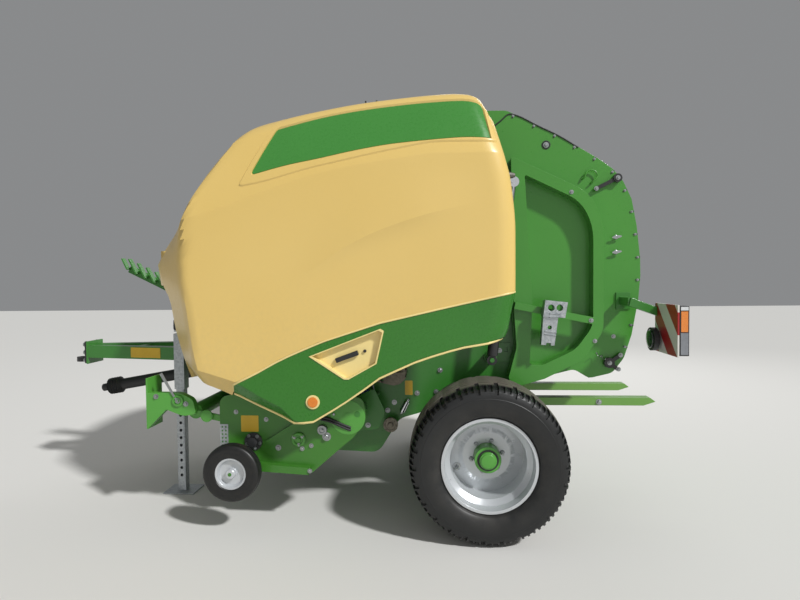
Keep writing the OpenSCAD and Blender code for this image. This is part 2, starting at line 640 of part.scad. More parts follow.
// A loop that runs round equal rollers, listed anticlockwise as x, z
function loop_line(centres, r, steps = 5) =
    [for (i = [0:len(centres) - 1])
        let (m = len(centres), a = centres[(i + m - 1) % m], b = centres[i], c = centres[(i + 1) % m],
            p = atan2(b[1] - a[1], b[0] - a[0]) - 90, q = atan2(c[1] - b[1], c[0] - b[0]) - 90,
            turn = (q - p + 720) % 360)
        for (k = [0:steps]) b + r * [cos(p + turn * k / steps), sin(p + turn * k / steps)]];
roller_r = 50;
belt_t = 8;
belt_n = 4;
front_rollers = [[-640, 990], [-420, roof_z - 275], [-640, roof_z - 275], [-900, 1900], [-860, 1130]];
gate_rollers = [[770, 1090], [980, 1420], [1000, hinge_z - 715], [820, hinge_z - 495], [780, 1800]];
module belts(centres) {
    pitch = (2 * wall_y - 20) / belt_n;
    for (i = [0:belt_n - 1])
        slab(-wall_y + 10 + i * pitch + 6, -wall_y + 10 + (i + 1) * pitch - 6) difference() {
            polygon(loop_line(centres, roller_r + belt_t));
            polygon(loop_line(centres, roller_r));
        }
    for (c = centres) cross_bar(c[0], c[1], roller_r, -wall_y + side_gap, wall_y - side_gap);
}
module chamber_belts() {
    color("#3a3a38") at_axle() belts(front_rollers);
}

// Shafts of the side drive: x, z, radius of the disc
drive_discs = [[-640, 990, 90], [-1500, 1200, 120], [-700, 1500, 110]];
chain_r = 88;
chain_pitch = 25.4;
link_h = 14;
sprocket_teeth = 22;
// Places of a chain's links round two equal sprockets: x, z, turn
function chain_links(a, b, r) =
    let (run = norm(b - a), along = atan2(b[1] - a[1], b[0] - a[0]), n = round(run / chain_pitch),
        bend = round(PI * r / chain_pitch))
    [for (end = [0, 1]) let (c = end == 0 ? b : a, other = end == 0 ? a : b, turn = along + 180 * end)
        each concat(
            [for (i = [0:bend - 1]) let (w = turn - 90 + 180 * (i + 0.5) / bend)
                [c[0] + r * cos(w), c[1] + r * sin(w), w + 90]],
            [for (i = [0:n - 1]) let (p = mix(c, other, (i + 0.5) / n) + r * [cos(turn + 90), sin(turn + 90)])
                [p[0], p[1], turn]])];
module chain(a, b, y) {
    links = chain_links(a, b, chain_r);
    for (i = [0:len(links) - 1]) translate([links[i][0], y, links[i][1]]) rotate([0, -links[i][2], 0])
        cube([chain_pitch + 5, i % 2 == 0 ? 14 : 9, link_h], center = true);
    for (c = [a, b]) translate([0, y + 3, 0]) rotate([90, 0, 0]) linear_extrude(6) translate(c) difference() {
        polygon([for (k = [0:2 * sprocket_teeth - 1]) let (w = 180 * k / sprocket_teeth)
            (k % 2 == 0 ? chain_r - 1 : chain_r - 12) * [cos(w), sin(w)]]);
        for (w = [0:60:300]) rotate(w) translate([52, 0]) circle(r = 15);
    }
}
module side_drive() {
    color("#4c4c4a") at_axle() {
        both_sides() for (row = drive_discs) {
            cross_bar(row[0], row[1], row[2], wall_out_y + 62, wall_out_y + 74);
            cross_bar(row[0], row[1], 26, wall_out_y, wall_out_y + 80);
        }
        mirror([0, 1, 0]) {
            chain([-640, 990], [-700, 1500], wall_out_y + 20);
            chain([-1500, 1200], [-640, 990], wall_out_y + 44);
        }
    }
}
module drive_shields() {
    color("#3c8a34") at_axle() both_sides() difference() {
        union() {
            slab(wall_out_y + 150, wall_out_y + 156)
                polygon(rounded([[-990, 790, 30], [-770, 893, 30], [-692, 724, 30], [-741, 601, 30],
                    [-911, 586, 30]]));
            for (spot = [[-760, 830], [-780, 650]]) cross_bar(spot[0], spot[1], 14, wall_out_y,
                wall_out_y + 152);
        }
        cross_bar(pickup_pivot_x, pickup_pivot_z, pivot_r + side_gap, wall_out_y + 1, wall_out_y + 200);
    }
}

// Road wheels. Tyre section: radius, share of the tyre's half width
bead_r = rim_r - 13 + side_gap;
tyre_half = [[bead_r, 0.8], [rim_r + 3, 0.816], [rim_r + 18, 0.912], [rim_r + 50, 0.972], [tyre_r - 107, 1],
    [tyre_r - 67, 0.992], [tyre_r - 37, 0.952], [tyre_r - 17, 0.86], [tyre_r - 7, 0.68], [tyre_r, 0.36]];
// The middle of a road wheel, with the axle as its Z
module wheel_spot() translate([0, tyre_y, axle_z]) rotate([90, 0, 0]) children();
module tyre(side) {
    color("#2c2c2b") at_axle() on_side(side) wheel_spot() rotate_extrude()
        polygon(concat(
            [for (p = tyre_half) [p[0], p[1] * tyre_w / 2]],
            [for (i = [len(tyre_half) - 1:-1:0]) [tyre_half[i][0], -tyre_half[i][1] * tyre_w / 2]]));
}
hub_r = 85;
rim_wall = 8;
// Rim section from its lip to its well: depth of the outer and inner face under the lip, share of the half
// width
rim_half = [[0, 20, 0.852], [0, 20, 0.82], [13, 13 + rim_wall, 0.812], [15, 15 + rim_wall, 0.56],
    [50, 50 + rim_wall, 0.44]];
module rim(side) {
    last = len(rim_half) - 1;
    well = rim_r - rim_half[last][1];
    eye = hub_r + side_gap;
    // Wheel disc: radius, distance inwards from the wheel's middle plane
    disc = [[well, 34], [190, 30], [150, 10], [eye, 10], [eye, 20], [146, 20], [186, 40], [well, 44]];
    function skin(i, face, end) = [rim_r - rim_half[i][face], end * rim_half[i][2] * tyre_w / 2];
    color("#c9ccd0") at_axle() on_side(side) wheel_spot() rotate_extrude()
        polygon(concat(
            [for (i = [0:last]) skin(i, 0, 1)],
            [for (i = [last:-1:0]) skin(i, 0, -1)],
            [for (i = [0:last]) skin(i, 1, -1)],
            disc,
            [for (i = [last:-1:0]) skin(i, 1, 1)]));
}
module hub(side) {
    color("#4a9a3e") at_axle() on_side(side) wheel_spot() difference() {
        union() {
            translate([0, 0, -90]) cylinder(h = 200, r = hub_r);
            translate([0, 0, 20]) cylinder(h = 14, r = 125);
            translate([0, 0, -112]) cylinder(h = 24, r = 55);
        }
        translate([0, 0, -75]) cylinder(h = 300, r = stub_r + run_gap);
    }
}

// Tailgate side plate: x, z, corner cut
gate_outline = [
    [-40, hinge_z - 50, 30], [-40, hinge_z + 77, 30], [188, hinge_z + 71, 20], [557, hinge_z - 115, 0],
    [833, hinge_z - 288, 0], [930, hinge_z - 360, 20], [1000, hinge_z - 445, 20], [1060, hinge_z - 575, 0],
    [1095, hinge_z - 762, 0], [1120, 1800, 0], [1122, 1681, 0], [1108, 1505, 0], [1063, 1258, 0],
        [1009, 1090, 20],
    [930, 985, 30], [766, 945, 30], [660, 1010, 30], [435, 952, 0], [250, 898, 30], [175, 955, 20],
    [235, 1180, 20], [215, 1440, 0], [205, hinge_z - 395, 40], [110, hinge_z - 155, 30],
        [90, hinge_z - 50, 20]];
module tailgate_plates() {
    color("#3c8a34") at_axle() both_sides() {
        slab(gate_y, gate_y + gate_t) polygon(rounded(gate_outline));
        cross_bar(hinge_x, hinge_z, hinge_pin_r, wall_y - 6, gate_y + 1);
    }
}

// Curved sheet over the back, from the hinge round to the lower lip
cover_line = [for (i = [3:15]) [gate_outline[i][0], gate_outline[i][1]]];
gate_middle = [300, 1900];
module tailgate_cover() {
    line = concat([[hinge_x + 15, hinge_z + 73], [188, hinge_z + 69]], cover_line);
    sheet = 8;
    color("#3c8a34") at_axle() slab(-gate_y, gate_y) polygon(concat(
        [for (p = line) p - unit(p - gate_middle) * 2],
        [for (i = [len(line) - 1:-1:0]) line[i] - unit(line[i] - gate_middle) * (2 + sheet)]));
}

frame_outer = [ [205, hinge_z - 275, 20], [744, hinge_z - 537, 110], [839, hinge_z - 745, 110],
    [839, 1290, 60], [690, 1085, 40], [435, 958, 0], [250, 902, 30], [180, 955, 20], [240, 1180, 20],
    [222, 1440, 0]];
frame_inner = [ [300, hinge_z - 405, 20], [680, hinge_z - 595, 90], [768, hinge_z - 765, 100],
    [768, 1330, 60], [650, 1165, 60], [420, 1055, 20], [330, 1060, 10], [350, 1500, 0]];
ear_t = 12;
// The latch arm lies across the frame's opening
latch_arm_t = 45;
module tailgate_frames() {
    color("#3c8a34") at_axle() both_sides() {
        slab(frame_y, frame_out_y) difference() {
            polygon(rounded(frame_outer));
            polygon(rounded(frame_inner));
        }
        // Ears for the cylinder rods
        slab(frame_out_y, frame_out_y + ear_t) translate(ram_eye) circle(r = 45);
        strut([222, 1478], [770, 1366], 48, frame_out_y, frame_out_y + latch_arm_t);
    }
}

module tailgate_rollers() {
    color("#3a3a38") at_axle() {
        belts(gate_rollers);
        for (c = gate_rollers) cross_bar(c[0], c[1], 22, -gate_y + side_gap, gate_y - side_gap);
    }
}

// Lamp boards on their brackets
board_x = 1165;
board_t = 12;
board_y0 = 790;
board_y1 = 1150;
board_z = 1165;
board_h = 325;
lamp_d = 58;
arm_x = 1000;
arm_z = 1500;
module lamp_brackets() {
    color("#2f7a2c") at_axle() both_sides() {
        translate([arm_x - 50, frame_y, arm_z - 60]) cube([100, 12, 120]);
        translate([arm_x - 28, frame_y + 12, arm_z - 28]) cube([56, board_y0 + 20 - frame_y, 56]);
        slab(board_y0 - 6, board_y0 + 44) polygon([[arm_x - 8, arm_z + 28], [board_x, arm_z - 37],
            [board_x, arm_z - 97], [arm_x - 22, arm_z - 28]]);
    }
}
module warning_boards() {
    color("#d8d8d6") at_axle() both_sides() difference() {
        translate([board_x + side_gap, board_y0, board_z]) cube([board_t, board_y1 - board_y0, board_h]);
        bar_x(lamp_spot[0], lamp_spot[1], 30, board_x - 1, board_x + 40);
    }
}
// Lamp housing behind the board, and the round lamp that looks forward
lamp_spot = [850, 1250];
module tail_lamps() {
    color("#8c8f92") at_axle() both_sides() {
        translate([board_x + board_t + 2 * side_gap, board_y0 + 10, board_z + 8])
            cube([lamp_d, board_y1 - board_y0 - 10, board_h - 16]);
        bar_x(lamp_spot[0], lamp_spot[1], 29, board_x - 20, board_x + board_t + 10);
        bar_x(lamp_spot[0], lamp_spot[1], 78, board_x - 52, board_x - 18);
    }
}

// Wheel chocks held on the latch arm, and the latches at the tailgate's rim
chock_y = frame_out_y + latch_arm_t + side_gap;
chock_t = 85;
chock_body = [[416, 1517], [400, 1405], [548, 1394], [566, 1500]];
chock_leg = [[404, 1410], [388, 1212], [478, 1206], [504, 1400]];
chock_slot = [[424, 1225], [420, 1203], [452, 1201], [456, 1222]];
module wheel_chocks() {
    color("#a5a8aa") at_axle() both_sides() {
        slab(chock_y, chock_y + chock_t) difference() {
            polygon(chock_body);
            for (x = [455, 512]) translate([x, 1464]) circle(r = 22);
        }
        slab(chock_y + 10, chock_y + chock_t - 10) difference() {
            polygon(chock_leg);
            polygon(chock_slot);
            translate([446, 1330]) circle(r = 14);
        }
    }
}
// Hook at the upper rim and catch at the lower rim: boss, radius, then the ends of their links
hook = [[955, hinge_z - 430], 30, [[800, hinge_z - 505]]];
catch = [[900, 1060], 36, [[985, 1120], [965, 1010]]];
latch_t = 36;
link_w = 26;
module tailgate_latches() {
    color("#4c4c4a") at_axle() both_sides() for (latch = [hook, catch]) {
        slab(frame_y, frame_y + latch_t) translate(latch[0]) circle(r = latch[1]);
        for (end = latch[2]) strut(latch[0], end, link_w, frame_y + 8, frame_y + latch_t - 8);
    }
}

// Tailgate cylinders: foot and eye in the side plane, from the axle
ram_foot = [60, 1100];
ram_eye = [215, hinge_z - 465];
ram_pin_r = 16;
// How far a pin stands out past the middle of its cylinder's eye
ram_pin_reach = 34;
ram_r = 38;
rod_r = 20;
barrel_l = 760;
ram_turn = atan2(ram_eye[1] - ram_foot[1], ram_eye[0] - ram_foot[0]);
ram_l = norm(ram_eye - ram_foot);
// Sets a piece along the cylinder, its own X running from foot to eye
module along_ram(side) {
    at_axle() on_side(side) translate([ram_foot[0], ram_y, ram_foot[1]]) rotate([0, -ram_turn, 0]) children();
}
module ram_eye_ring(x) {
    translate([x, 25, 0]) rotate([90, 0, 0]) cylinder(h = 50, r = 36);
}
module ram_hole(x) {
    translate([x, 30, 0]) rotate([90, 0, 0]) cylinder(h = 60, r = ram_pin_r + run_gap);
}
module cylinder_barrel(side) {
    color("#2b2b2b") along_ram(side) difference() {
        union() {
            ram_eye_ring(0);
            translate([30, 0, 0]) rotate([0, 90, 0]) cylinder(h = barrel_l - 30, r = ram_r);
        }
        ram_hole(0);
        translate([60, 0, 0]) rotate([0, 90, 0]) cylinder(h = barrel_l, r = rod_r + run_gap);
    }
}
// The rod's eye with its pin, which ends just off the ear on the tailgate frame
module cylinder_rod(side) {
    color("#d5d7d9") along_ram(side) {
        ram_eye_ring(ram_l);
        translate([300, 0, 0]) rotate([0, 90, 0]) cylinder(h = ram_l - 330, r = rod_r);
        translate([ram_l, ram_pin_reach, 0]) rotate([90, 0, 0])
            cylinder(h = ram_pin_reach + ram_y - frame_out_y - ear_t - side_gap, r = ram_pin_r);
    }
}

// Pickup side plate: x, z, corner cut. It runs from the reel back to its pivot.
pickup_outline = [
    [reel_x - 235, reel_z - 145, 30], [reel_x - 235, reel_z + 300, 60], [reel_x + 80, reel_z + 350, 80],
    [reel_x + 400, reel_z + 280, 60], [pickup_pivot_x - 174, pickup_pivot_z + 100, 60],
    [pickup_pivot_x + 40, pickup_pivot_z + 120, 60], [pickup_pivot_x + 60, pickup_pivot_z - 40, 40],
    [pickup_pivot_x - 29, pickup_pivot_z - 159, 20], [pickup_pivot_x - 111, pickup_pivot_z - 227, 20],
    [reel_x + 403, reel_z - 221, 10], [reel_x + 75, reel_z - 175, 30], [reel_x - 100, reel_z - 135, 50]];
reel_shaft_r = 30;
plate_out_y = plate_y + plate_t;
// Gauge wheel, beside the front of the side plate
gauge_x = reel_x - 86;
gauge_z = reel_z - 162;
gauge_y = plate_y + 185;
gauge_pin_r = 12;
// Sections of a gauge wheel's tyre and rim: radius, share of the half width
gauge_rim_r = 103;
gauge_half = [[gauge_rim_r + side_gap, 0.84], [gauge_rim_r + 5, 0.95], [gauge_rim_r + 17, 1],
    [gauge_r - 25, 1], [gauge_r - 6, 0.77], [gauge_r, 0.34]];
gauge_rim_half = [[gauge_pin_r + run_gap, 0.64], [30, 0.64], [33, 0.2], [78, 0.26], [90, 0.8],
    [gauge_rim_r, 0.86]];
module pickup_frame() {
    color("#3c8a34") at_axle() {
        both_sides() difference() {
            union() {
                slab(plate_y, plate_out_y) polygon(rounded(pickup_outline));
                slab(plate_out_y, plate_out_y + 50) polygon([[reel_x + 60, reel_z - 199],
                    [reel_x + 60, reel_z - 149],
                    [reel_x + 390, reel_z - 171], [reel_x + 390, reel_z - 219]]);
                strut([reel_x + 100, reel_z - 15], [reel_x + 390, reel_z + 170], 36, plate_out_y,
                    plate_out_y + 20);
                slab(plate_out_y, plate_out_y + 12) polygon([[reel_x - 220, reel_z - 35],
                    [reel_x - 180, reel_z - 35],
                    [reel_x - 60, reel_z - 135], [reel_x + 60, reel_z - 149], [reel_x + 60, reel_z - 195],
                    [reel_x - 120, reel_z - 195], [reel_x - 220, reel_z - 95]]);
                cross_bar(gauge_x, gauge_z, gauge_pin_r, plate_out_y, gauge_y + gauge_w / 2 + 4);
            }
            cross_bar(pickup_pivot_x, pickup_pivot_z, pivot_pin_r + run_gap, plate_y - 1, plate_out_y + 2);
            cross_bar(reel_x, reel_z, reel_shaft_r + run_gap, plate_y - 1, plate_out_y + 2);
        }
        cross_bar(reel_x + 290, reel_z + 25, 45, -plate_y, plate_y);
    }
}

band_r = 150;
band_end = 250;
band_pitch = (pickup_w - 60) / tine_count;
module pickup_bands() {
    color("#8f9a86") at_axle() {
        for (i = [1:tine_count - 1]) {
            y = -plate_y + 30 + i * band_pitch;
            translate([reel_x, y + 30, reel_z]) rotate([90, 0, 0]) linear_extrude(60) difference() {
                union() {
                    circle(r = band_r + 4);
                    translate([0, -band_r - 4]) square([band_end, 2 * band_r + 8]);
                }
                circle(r = band_r);
                translate([0, -band_r]) square([band_end + 1, 2 * band_r]);
            }
        }
        for (end = [-1, 1])
            cross_bar(reel_x + band_end, reel_z + end * band_r, 14, -plate_y + side_gap, plate_y - side_gap);
    }
}

module pickup_reel() {
    color("#a0a3a5") at_axle() {
        cross_bar(reel_x, reel_z, 45, -plate_y + 8, plate_y - 8);
        cross_bar(reel_x, reel_z, reel_shaft_r, -plate_out_y - 4, plate_out_y + 4);
        for (y = [-0.96, -0.33, 0.33, 0.96] * plate_y) cross_bar(reel_x, reel_z, 128, y - 4, y + 4);
        for (k = [0:tine_rows - 1]) {
            turn = 360 / tine_rows * k;
            spot = [reel_x, reel_z] + 112 * [cos(turn), sin(turn)];
            cross_bar(spot[0], spot[1], 12, -plate_y + 20, plate_y - 20);
            for (i = [0:tine_count - 1]) translate([reel_x, -plate_y + 30 + (i + 0.5) * band_pitch, reel_z])
                rotate([0, -turn, 0]) translate([105, 0, 0]) rotate([0, 90, 0])
                    cylinder(h = tine_r - 105, r = 3.5, $fn = 6);
        }
    }
}

// Roller and plate that press the crop on to the pickup
guard_x = reel_x - 420;
guard_z = reel_z + 190;
module crop_guard() {
    color("#5aa84a") at_axle() {
        cross_bar(guard_x, guard_z, 51, -plate_y + 20, plate_y - 20);
        cross_bar(guard_x, guard_z, 18, -plate_out_y, plate_out_y);
        both_sides() {
            strut([guard_x - 20, guard_z], [reel_x + 90, reel_z + 80], 44, plate_y - 12, plate_y - side_gap);
            slab(plate_y - 12, plate_y + 40) translate([guard_x, guard_z]) polygon(rounded([
                [-310, 140, 0], [-80, 140, 30], [10, 95, 30], [30, -5, 30], [-60, -20, 30], [-180, 25, 10],
                    [-310, -105, 0]]));
            translate([guard_x - 322, plate_y - 160, guard_z - 110]) cube([12, 200, 350]);
        }
    }
}

module gauge_ring(half) {
    translate([gauge_x, gauge_y, gauge_z]) rotate([90, 0, 0]) rotate_extrude() polygon(concat(
        [for (p = half) [p[0], p[1] * gauge_w / 2]],
        [for (i = [len(half) - 1:-1:0]) [half[i][0], -half[i][1] * gauge_w / 2]]));
}
module gauge_wheel(side) {
    color("#2c2c2b") at_axle() on_side(side) gauge_ring(gauge_half);
}
module gauge_rim(side) {
    color("#c9ccd0") at_axle() on_side(side) gauge_ring(gauge_rim_half);
}

chassis_walls();
side_pins();
cross_frame();
roof();
front_cover();
drawbar();
towing_eye();
jack_tube();
jack_leg();
driveshaft();
gearbox();
hose_holder();
axle();
bale_ramp();
feed_rotor();
feed_floor();
chamber_belts();
side_drive();
drive_shields();
tailgate_plates();
tailgate_cover();
tailgate_frames();
tailgate_rollers();
lamp_brackets();
warning_boards();
tail_lamps();
pickup_frame();
pickup_reel();
pickup_bands();
crop_guard();
tyre(-1);  // tyre_left
tyre(1);  // tyre_right
rim(-1);  // rim_left
rim(1);  // rim_right
hub(-1);  // hub_left
hub(1);  // hub_right
hood(-1);  // hood_left
hood(1);  // hood_right
hood_skirt(-1);  // hood_skirt_left
hood_skirt(1);  // hood_skirt_right
cylinder_barrel(-1);  // cylinder_left
cylinder_barrel(1);  // cylinder_right
cylinder_rod(-1);  // rod_left
cylinder_rod(1);  // rod_right
gauge_wheel(-1);  // gauge_wheel_left
gauge_wheel(1);  // gauge_wheel_right
wheel_chocks();
tailgate_latches();
hood_band(-1);  // hood_band_left
hood_band(1);  // hood_band_right
hood_trim(-1);  // hood_trim_left
hood_trim(1);  // hood_trim_right
hood_handle(-1);  // hood_handle_left
hood_handle(1);  // hood_handle_right
gauge_rim(-1);  // gauge_rim_left
gauge_rim(1);  // gauge_rim_right
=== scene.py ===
import contextlib
import json
import math

import bmesh
import bpy
from mathutils import Matrix, Vector

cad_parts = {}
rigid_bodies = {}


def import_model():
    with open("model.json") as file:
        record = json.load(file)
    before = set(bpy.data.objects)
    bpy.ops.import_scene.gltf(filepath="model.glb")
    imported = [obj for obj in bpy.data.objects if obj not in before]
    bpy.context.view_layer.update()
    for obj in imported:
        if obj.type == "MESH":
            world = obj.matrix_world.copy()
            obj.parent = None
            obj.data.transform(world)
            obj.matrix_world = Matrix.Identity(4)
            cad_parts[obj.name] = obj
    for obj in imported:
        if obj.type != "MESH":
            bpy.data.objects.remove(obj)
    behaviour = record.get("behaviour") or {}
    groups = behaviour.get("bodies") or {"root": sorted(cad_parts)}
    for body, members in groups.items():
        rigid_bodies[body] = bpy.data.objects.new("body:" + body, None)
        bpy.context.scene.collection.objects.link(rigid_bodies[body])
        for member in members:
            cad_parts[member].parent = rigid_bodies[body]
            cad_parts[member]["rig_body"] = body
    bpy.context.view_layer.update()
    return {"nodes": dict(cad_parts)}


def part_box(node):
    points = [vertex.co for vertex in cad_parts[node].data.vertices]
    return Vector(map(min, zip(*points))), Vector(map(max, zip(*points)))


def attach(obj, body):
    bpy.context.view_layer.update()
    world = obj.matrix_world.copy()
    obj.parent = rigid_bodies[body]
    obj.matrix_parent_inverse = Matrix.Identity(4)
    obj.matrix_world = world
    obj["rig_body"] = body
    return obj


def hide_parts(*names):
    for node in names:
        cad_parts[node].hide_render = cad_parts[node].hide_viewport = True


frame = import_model()
nodes = frame["nodes"]
bpy.ops.object.select_all(action="DESELECT")

# Camera. A hand-held wide lens stood level with the hoods, a little in front of the axle,
# turned slightly towards the drawbar and rolled by half a degree.
photo_w = 800
lens_px = 555.0
sensor_mm = 36.0
axle_radius = 0.055
axle_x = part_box("axle")[0].x + axle_radius
eye_height = 1.65
yaw, pitch, roll = (math.radians(a) for a in (4.1, 1.86, -0.6))

ahead = Vector((-math.sin(yaw) * math.cos(pitch), math.cos(yaw) * math.cos(pitch), -math.sin(pitch)))
across = Vector((math.cos(yaw), math.sin(yaw), 0))
upward = across.cross(ahead)
rolled_across = across * math.cos(roll) + upward * math.sin(roll)
rolled_up = upward * math.cos(roll) - across * math.sin(roll)
camera_data = bpy.data.cameras.new("camera")
camera_data.sensor_width = sensor_mm
camera_data.lens = lens_px / photo_w * sensor_mm
camera_data.clip_end = 100
camera = bpy.data.objects.new("camera", camera_data)
bpy.context.scene.collection.objects.link(camera)
camera.matrix_world = Matrix((rolled_across, rolled_up, -ahead)).transposed().to_4x4()
camera.location = (axle_x - 0.2985, -4.684, eye_height)
bpy.context.scene.camera = camera
bpy.context.scene.view_settings.view_transform = "Standard"


# Chamber walls, their side pins and cross tubes. The walls are cut from 12 mm steel plate, square
# tubes are welded across between them, and all of it is powder-coated in one dark green.
def linear(code):
    """The linear colour of an sRGB hex value."""
    channels = [int(code[i:i + 2], 16) / 255 for i in (1, 3, 5)]
    return tuple(c / 12.92 if c <= 0.04045 else ((c + 0.055) / 1.055) ** 2.4 for c in channels) + (1,)


def feed(node, inputs):
    """Gives each input a value or an sRGB hex colour, or links it to an output, or to a node's first one."""
    for key, value in inputs.items():
        if isinstance(value, str):
            value = linear(value)
        if isinstance(value, bpy.types.Node):
            value = next(socket for socket in value.outputs if socket.enabled)
        if isinstance(value, bpy.types.NodeSocket):
            node.id_data.links.new(value, node.inputs[key])
        else:
            node.inputs[key].default_value = value


def add(tree, kind, inputs=None, **settings):
    """Adds a shader node with its settings, values and links."""
    made = tree.nodes.new("ShaderNode" + kind)
    for key, value in settings.items():
        setattr(made, key, value)
    feed(made, inputs or {})
    return made


def new_finish(name, slot, **sockets):
    """A finish with its slot in the record. The sockets are set on the shader itself."""
    made = bpy.data.materials.new(name)
    made.use_nodes = True
    made["slot"] = slot
    surface = made.node_tree.nodes["Principled BSDF"]
    feed(surface, {key.replace("_", " "): value for key, value in sockets.items()})
    return made, made.node_tree, surface


def enamel(name, slot, tone, shade, roughness=0.3, grime=0.1, peel_mm=7, **sockets):
    """Sprayed enamel on steel. A slow drift of tone, a fine peel in the gloss, and road dust that
    gathers near the ground and on faces that look up."""
    made, tree, surface = new_finish(
        name, slot, **{"IOR": 1.5, "Coat_Weight": 0.15, "Coat_Roughness": 0.12, **sockets})
    spot = add(tree, "TexCoord").outputs
    drift = add(tree, "TexNoise", {"Vector": spot["Object"], "Scale": 1.7, "Detail": 4.0})
    paint = add(tree, "Mix", {0: drift, 6: shade, 7: tone}, data_type="RGBA")
    height = add(tree, "SeparateXYZ", {"Vector": spot["Object"]}).outputs["Z"]
    facing = add(tree, "SeparateXYZ", {"Vector": spot["Normal"]}).outputs["Z"]
    low = add(tree, "MapRange",
              {"Value": height, "From Min": 0.1, "From Max": 0.9, "To Min": grime, "To Max": grime * 0.12})
    lying = add(tree, "MapRange",
                {"Value": facing, "From Min": 0.75, "From Max": 1.0, "To Min": 0.0, "To Max": grime * 0.6})
    specks = add(tree, "TexNoise",
                 {"Vector": spot["Object"], "Scale": 45.0, "Detail": 6.0, "Roughness": 0.7})
    patchy = add(tree, "MapRange", {"Value": specks, "From Min": 0.4, "From Max": 0.66})
    both = add(tree, "Math", {0: low, 1: lying}, operation="ADD")
    dust = add(tree, "Math", {0: both, 1: patchy}, operation="MULTIPLY")
    dusty = add(tree, "Mix", {0: dust, 6: paint, 7: "#8F8670"}, data_type="RGBA")
    gloss = add(tree, "MapRange", {"Value": specks, "From Min": 0.3, "From Max": 0.7,
                                   "To Min": roughness - 0.04, "To Max": roughness + 0.1})
    peel = add(tree, "TexNoise", {"Vector": spot["Object"], "Scale": 1000 / peel_mm, "Detail": 1.0})
    bump = add(tree, "Bump", {"Height": peel, "Strength": 0.05, "Distance": 0.001})
    feed(surface, {"Base Color": dusty, "Roughness": gloss, "Normal": bump})
    return made


def only(*pieces):
    """Selects these pieces and nothing else."""
    bpy.ops.object.select_all(action="DESELECT")
    for piece in pieces:
        piece.select_set(True)
        bpy.context.view_layer.objects.active = piece


@contextlib.contextmanager
def edit():
    """Edit mode for the active piece, for as long as a block lasts."""
    bpy.ops.object.mode_set(mode="EDIT")
    yield
    bpy.ops.object.mode_set(mode="OBJECT")


def pick(test):
    """In edit mode, selects the faces whose middle and normal pass a test, and nothing else."""
    bpy.ops.mesh.select_mode(type="FACE")
    bpy.ops.mesh.select_all(action="DESELECT")
    shape = bmesh.from_edit_mesh(bpy.context.object.data)
    for face in shape.faces:
        face.select_set(test(face.calc_center_median(), face.normal))
    bmesh.update_edit_mesh(bpy.context.object.data)


def modify(piece, kind, **settings):
    """Puts a modifier on a piece and applies it."""
    only(piece)
    change = piece.modifiers.new(kind.lower(), kind)
    for key, value in settings.items():
        setattr(change, key, value)
    bpy.ops.object.modifier_apply(modifier=change.name)


def mount(piece, name, body, finish, smooth=34):
    """Fixes a finished piece to its body: place applied, shading set, finish put on."""
    only(piece)
    bpy.ops.object.transform_apply(location=True, rotation=True, scale=True)
    bpy.ops.object.shade_smooth_by_angle(angle=math.radians(smooth))
    modify(piece, "WEIGHTED_NORMAL", keep_sharp=True)
    piece.name = piece.data.name = name
    piece.data.materials.clear()
    piece.data.materials.append(finish)
    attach(piece, body)
    return piece


def break_edges(piece, width):
    """Rounds the sharp edges of a piece, and goes back to sharp ones where that throws points out."""
    before = piece.data.copy()
    reach = [max(abs(v.co[i]) for v in before.vertices) for i in range(3)]
    modify(piece, "BEVEL", width=width, segments=2, limit_method="ANGLE", angle_limit=math.radians(32),
           miter_outer="MITER_ARC")
    if any(abs(v.co[i]) > reach[i] + 0.001 for v in piece.data.vertices for i in range(3)):
        piece.data = before


def finish_node(finish, *names, edge=0.002, smooth=34):
    """Puts a finish on CAD nodes. A merged copy with broken edges stands for each."""
    for name in names:
        piece = bpy.data.objects.new(name, nodes[name].data.copy())
        bpy.context.scene.collection.objects.link(piece)
        only(piece)
        with edit():
            bpy.ops.mesh.select_all(action="SELECT")
            bpy.ops.mesh.remove_doubles(threshold=0.00002)
            bpy.ops.mesh.dissolve_limited(angle_limit=math.radians(0.4))
        if edge:
            break_edges(piece, edge)
        mount(piece, name + "_finished", nodes[name]["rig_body"], finish, smooth)
        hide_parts(name)
    return piece


dark_green = enamel("dark_green_enamel", "green_enamel", "#3A8030", "#337628")
finish_node(dark_green, "chassis_walls", "side_pins", "cross_frame")


# Bolts that hold the bearings and the drive to the walls. Hexagon heads on washers, forged from
# steel, zinc-plated, and turned home through the plates.
def at(x, y, z):
    """A place in the frame, given in millimetres back from the axle, out from the middle, and up."""
    return Vector((axle_x + x / 1000, y / 1000, z / 1000))


def swing(piece, degrees, axis):
    """Turns a piece's mesh about an axis through its origin."""
    piece.data.transform(Matrix.Rotation(math.radians(degrees), 4, axis))


def hex_bolt(across_flats):
    """A hexagon head on its washer, in millimetres. It faces -Y, out of the machine's left side."""
    size = across_flats / 1000
    only()
    bpy.ops.mesh.primitive_cylinder_add(vertices=6, radius=size * 0.577, depth=size * 0.6,
                                        location=(0, 0, size * 0.42))
    head = bpy.context.object
    bpy.ops.object.transform_apply(location=True)
    with edit():
        pick(lambda middle, normal: normal.z > 0.9)
        bpy.ops.mesh.inset(thickness=size * 0.07, depth=size * 0.06)
        bpy.ops.mesh.primitive_cylinder_add(vertices=20, radius=size, depth=size * 0.16,
                                            location=(0, 0, size * 0.08))
    swing(head, 90, "X")
    return head


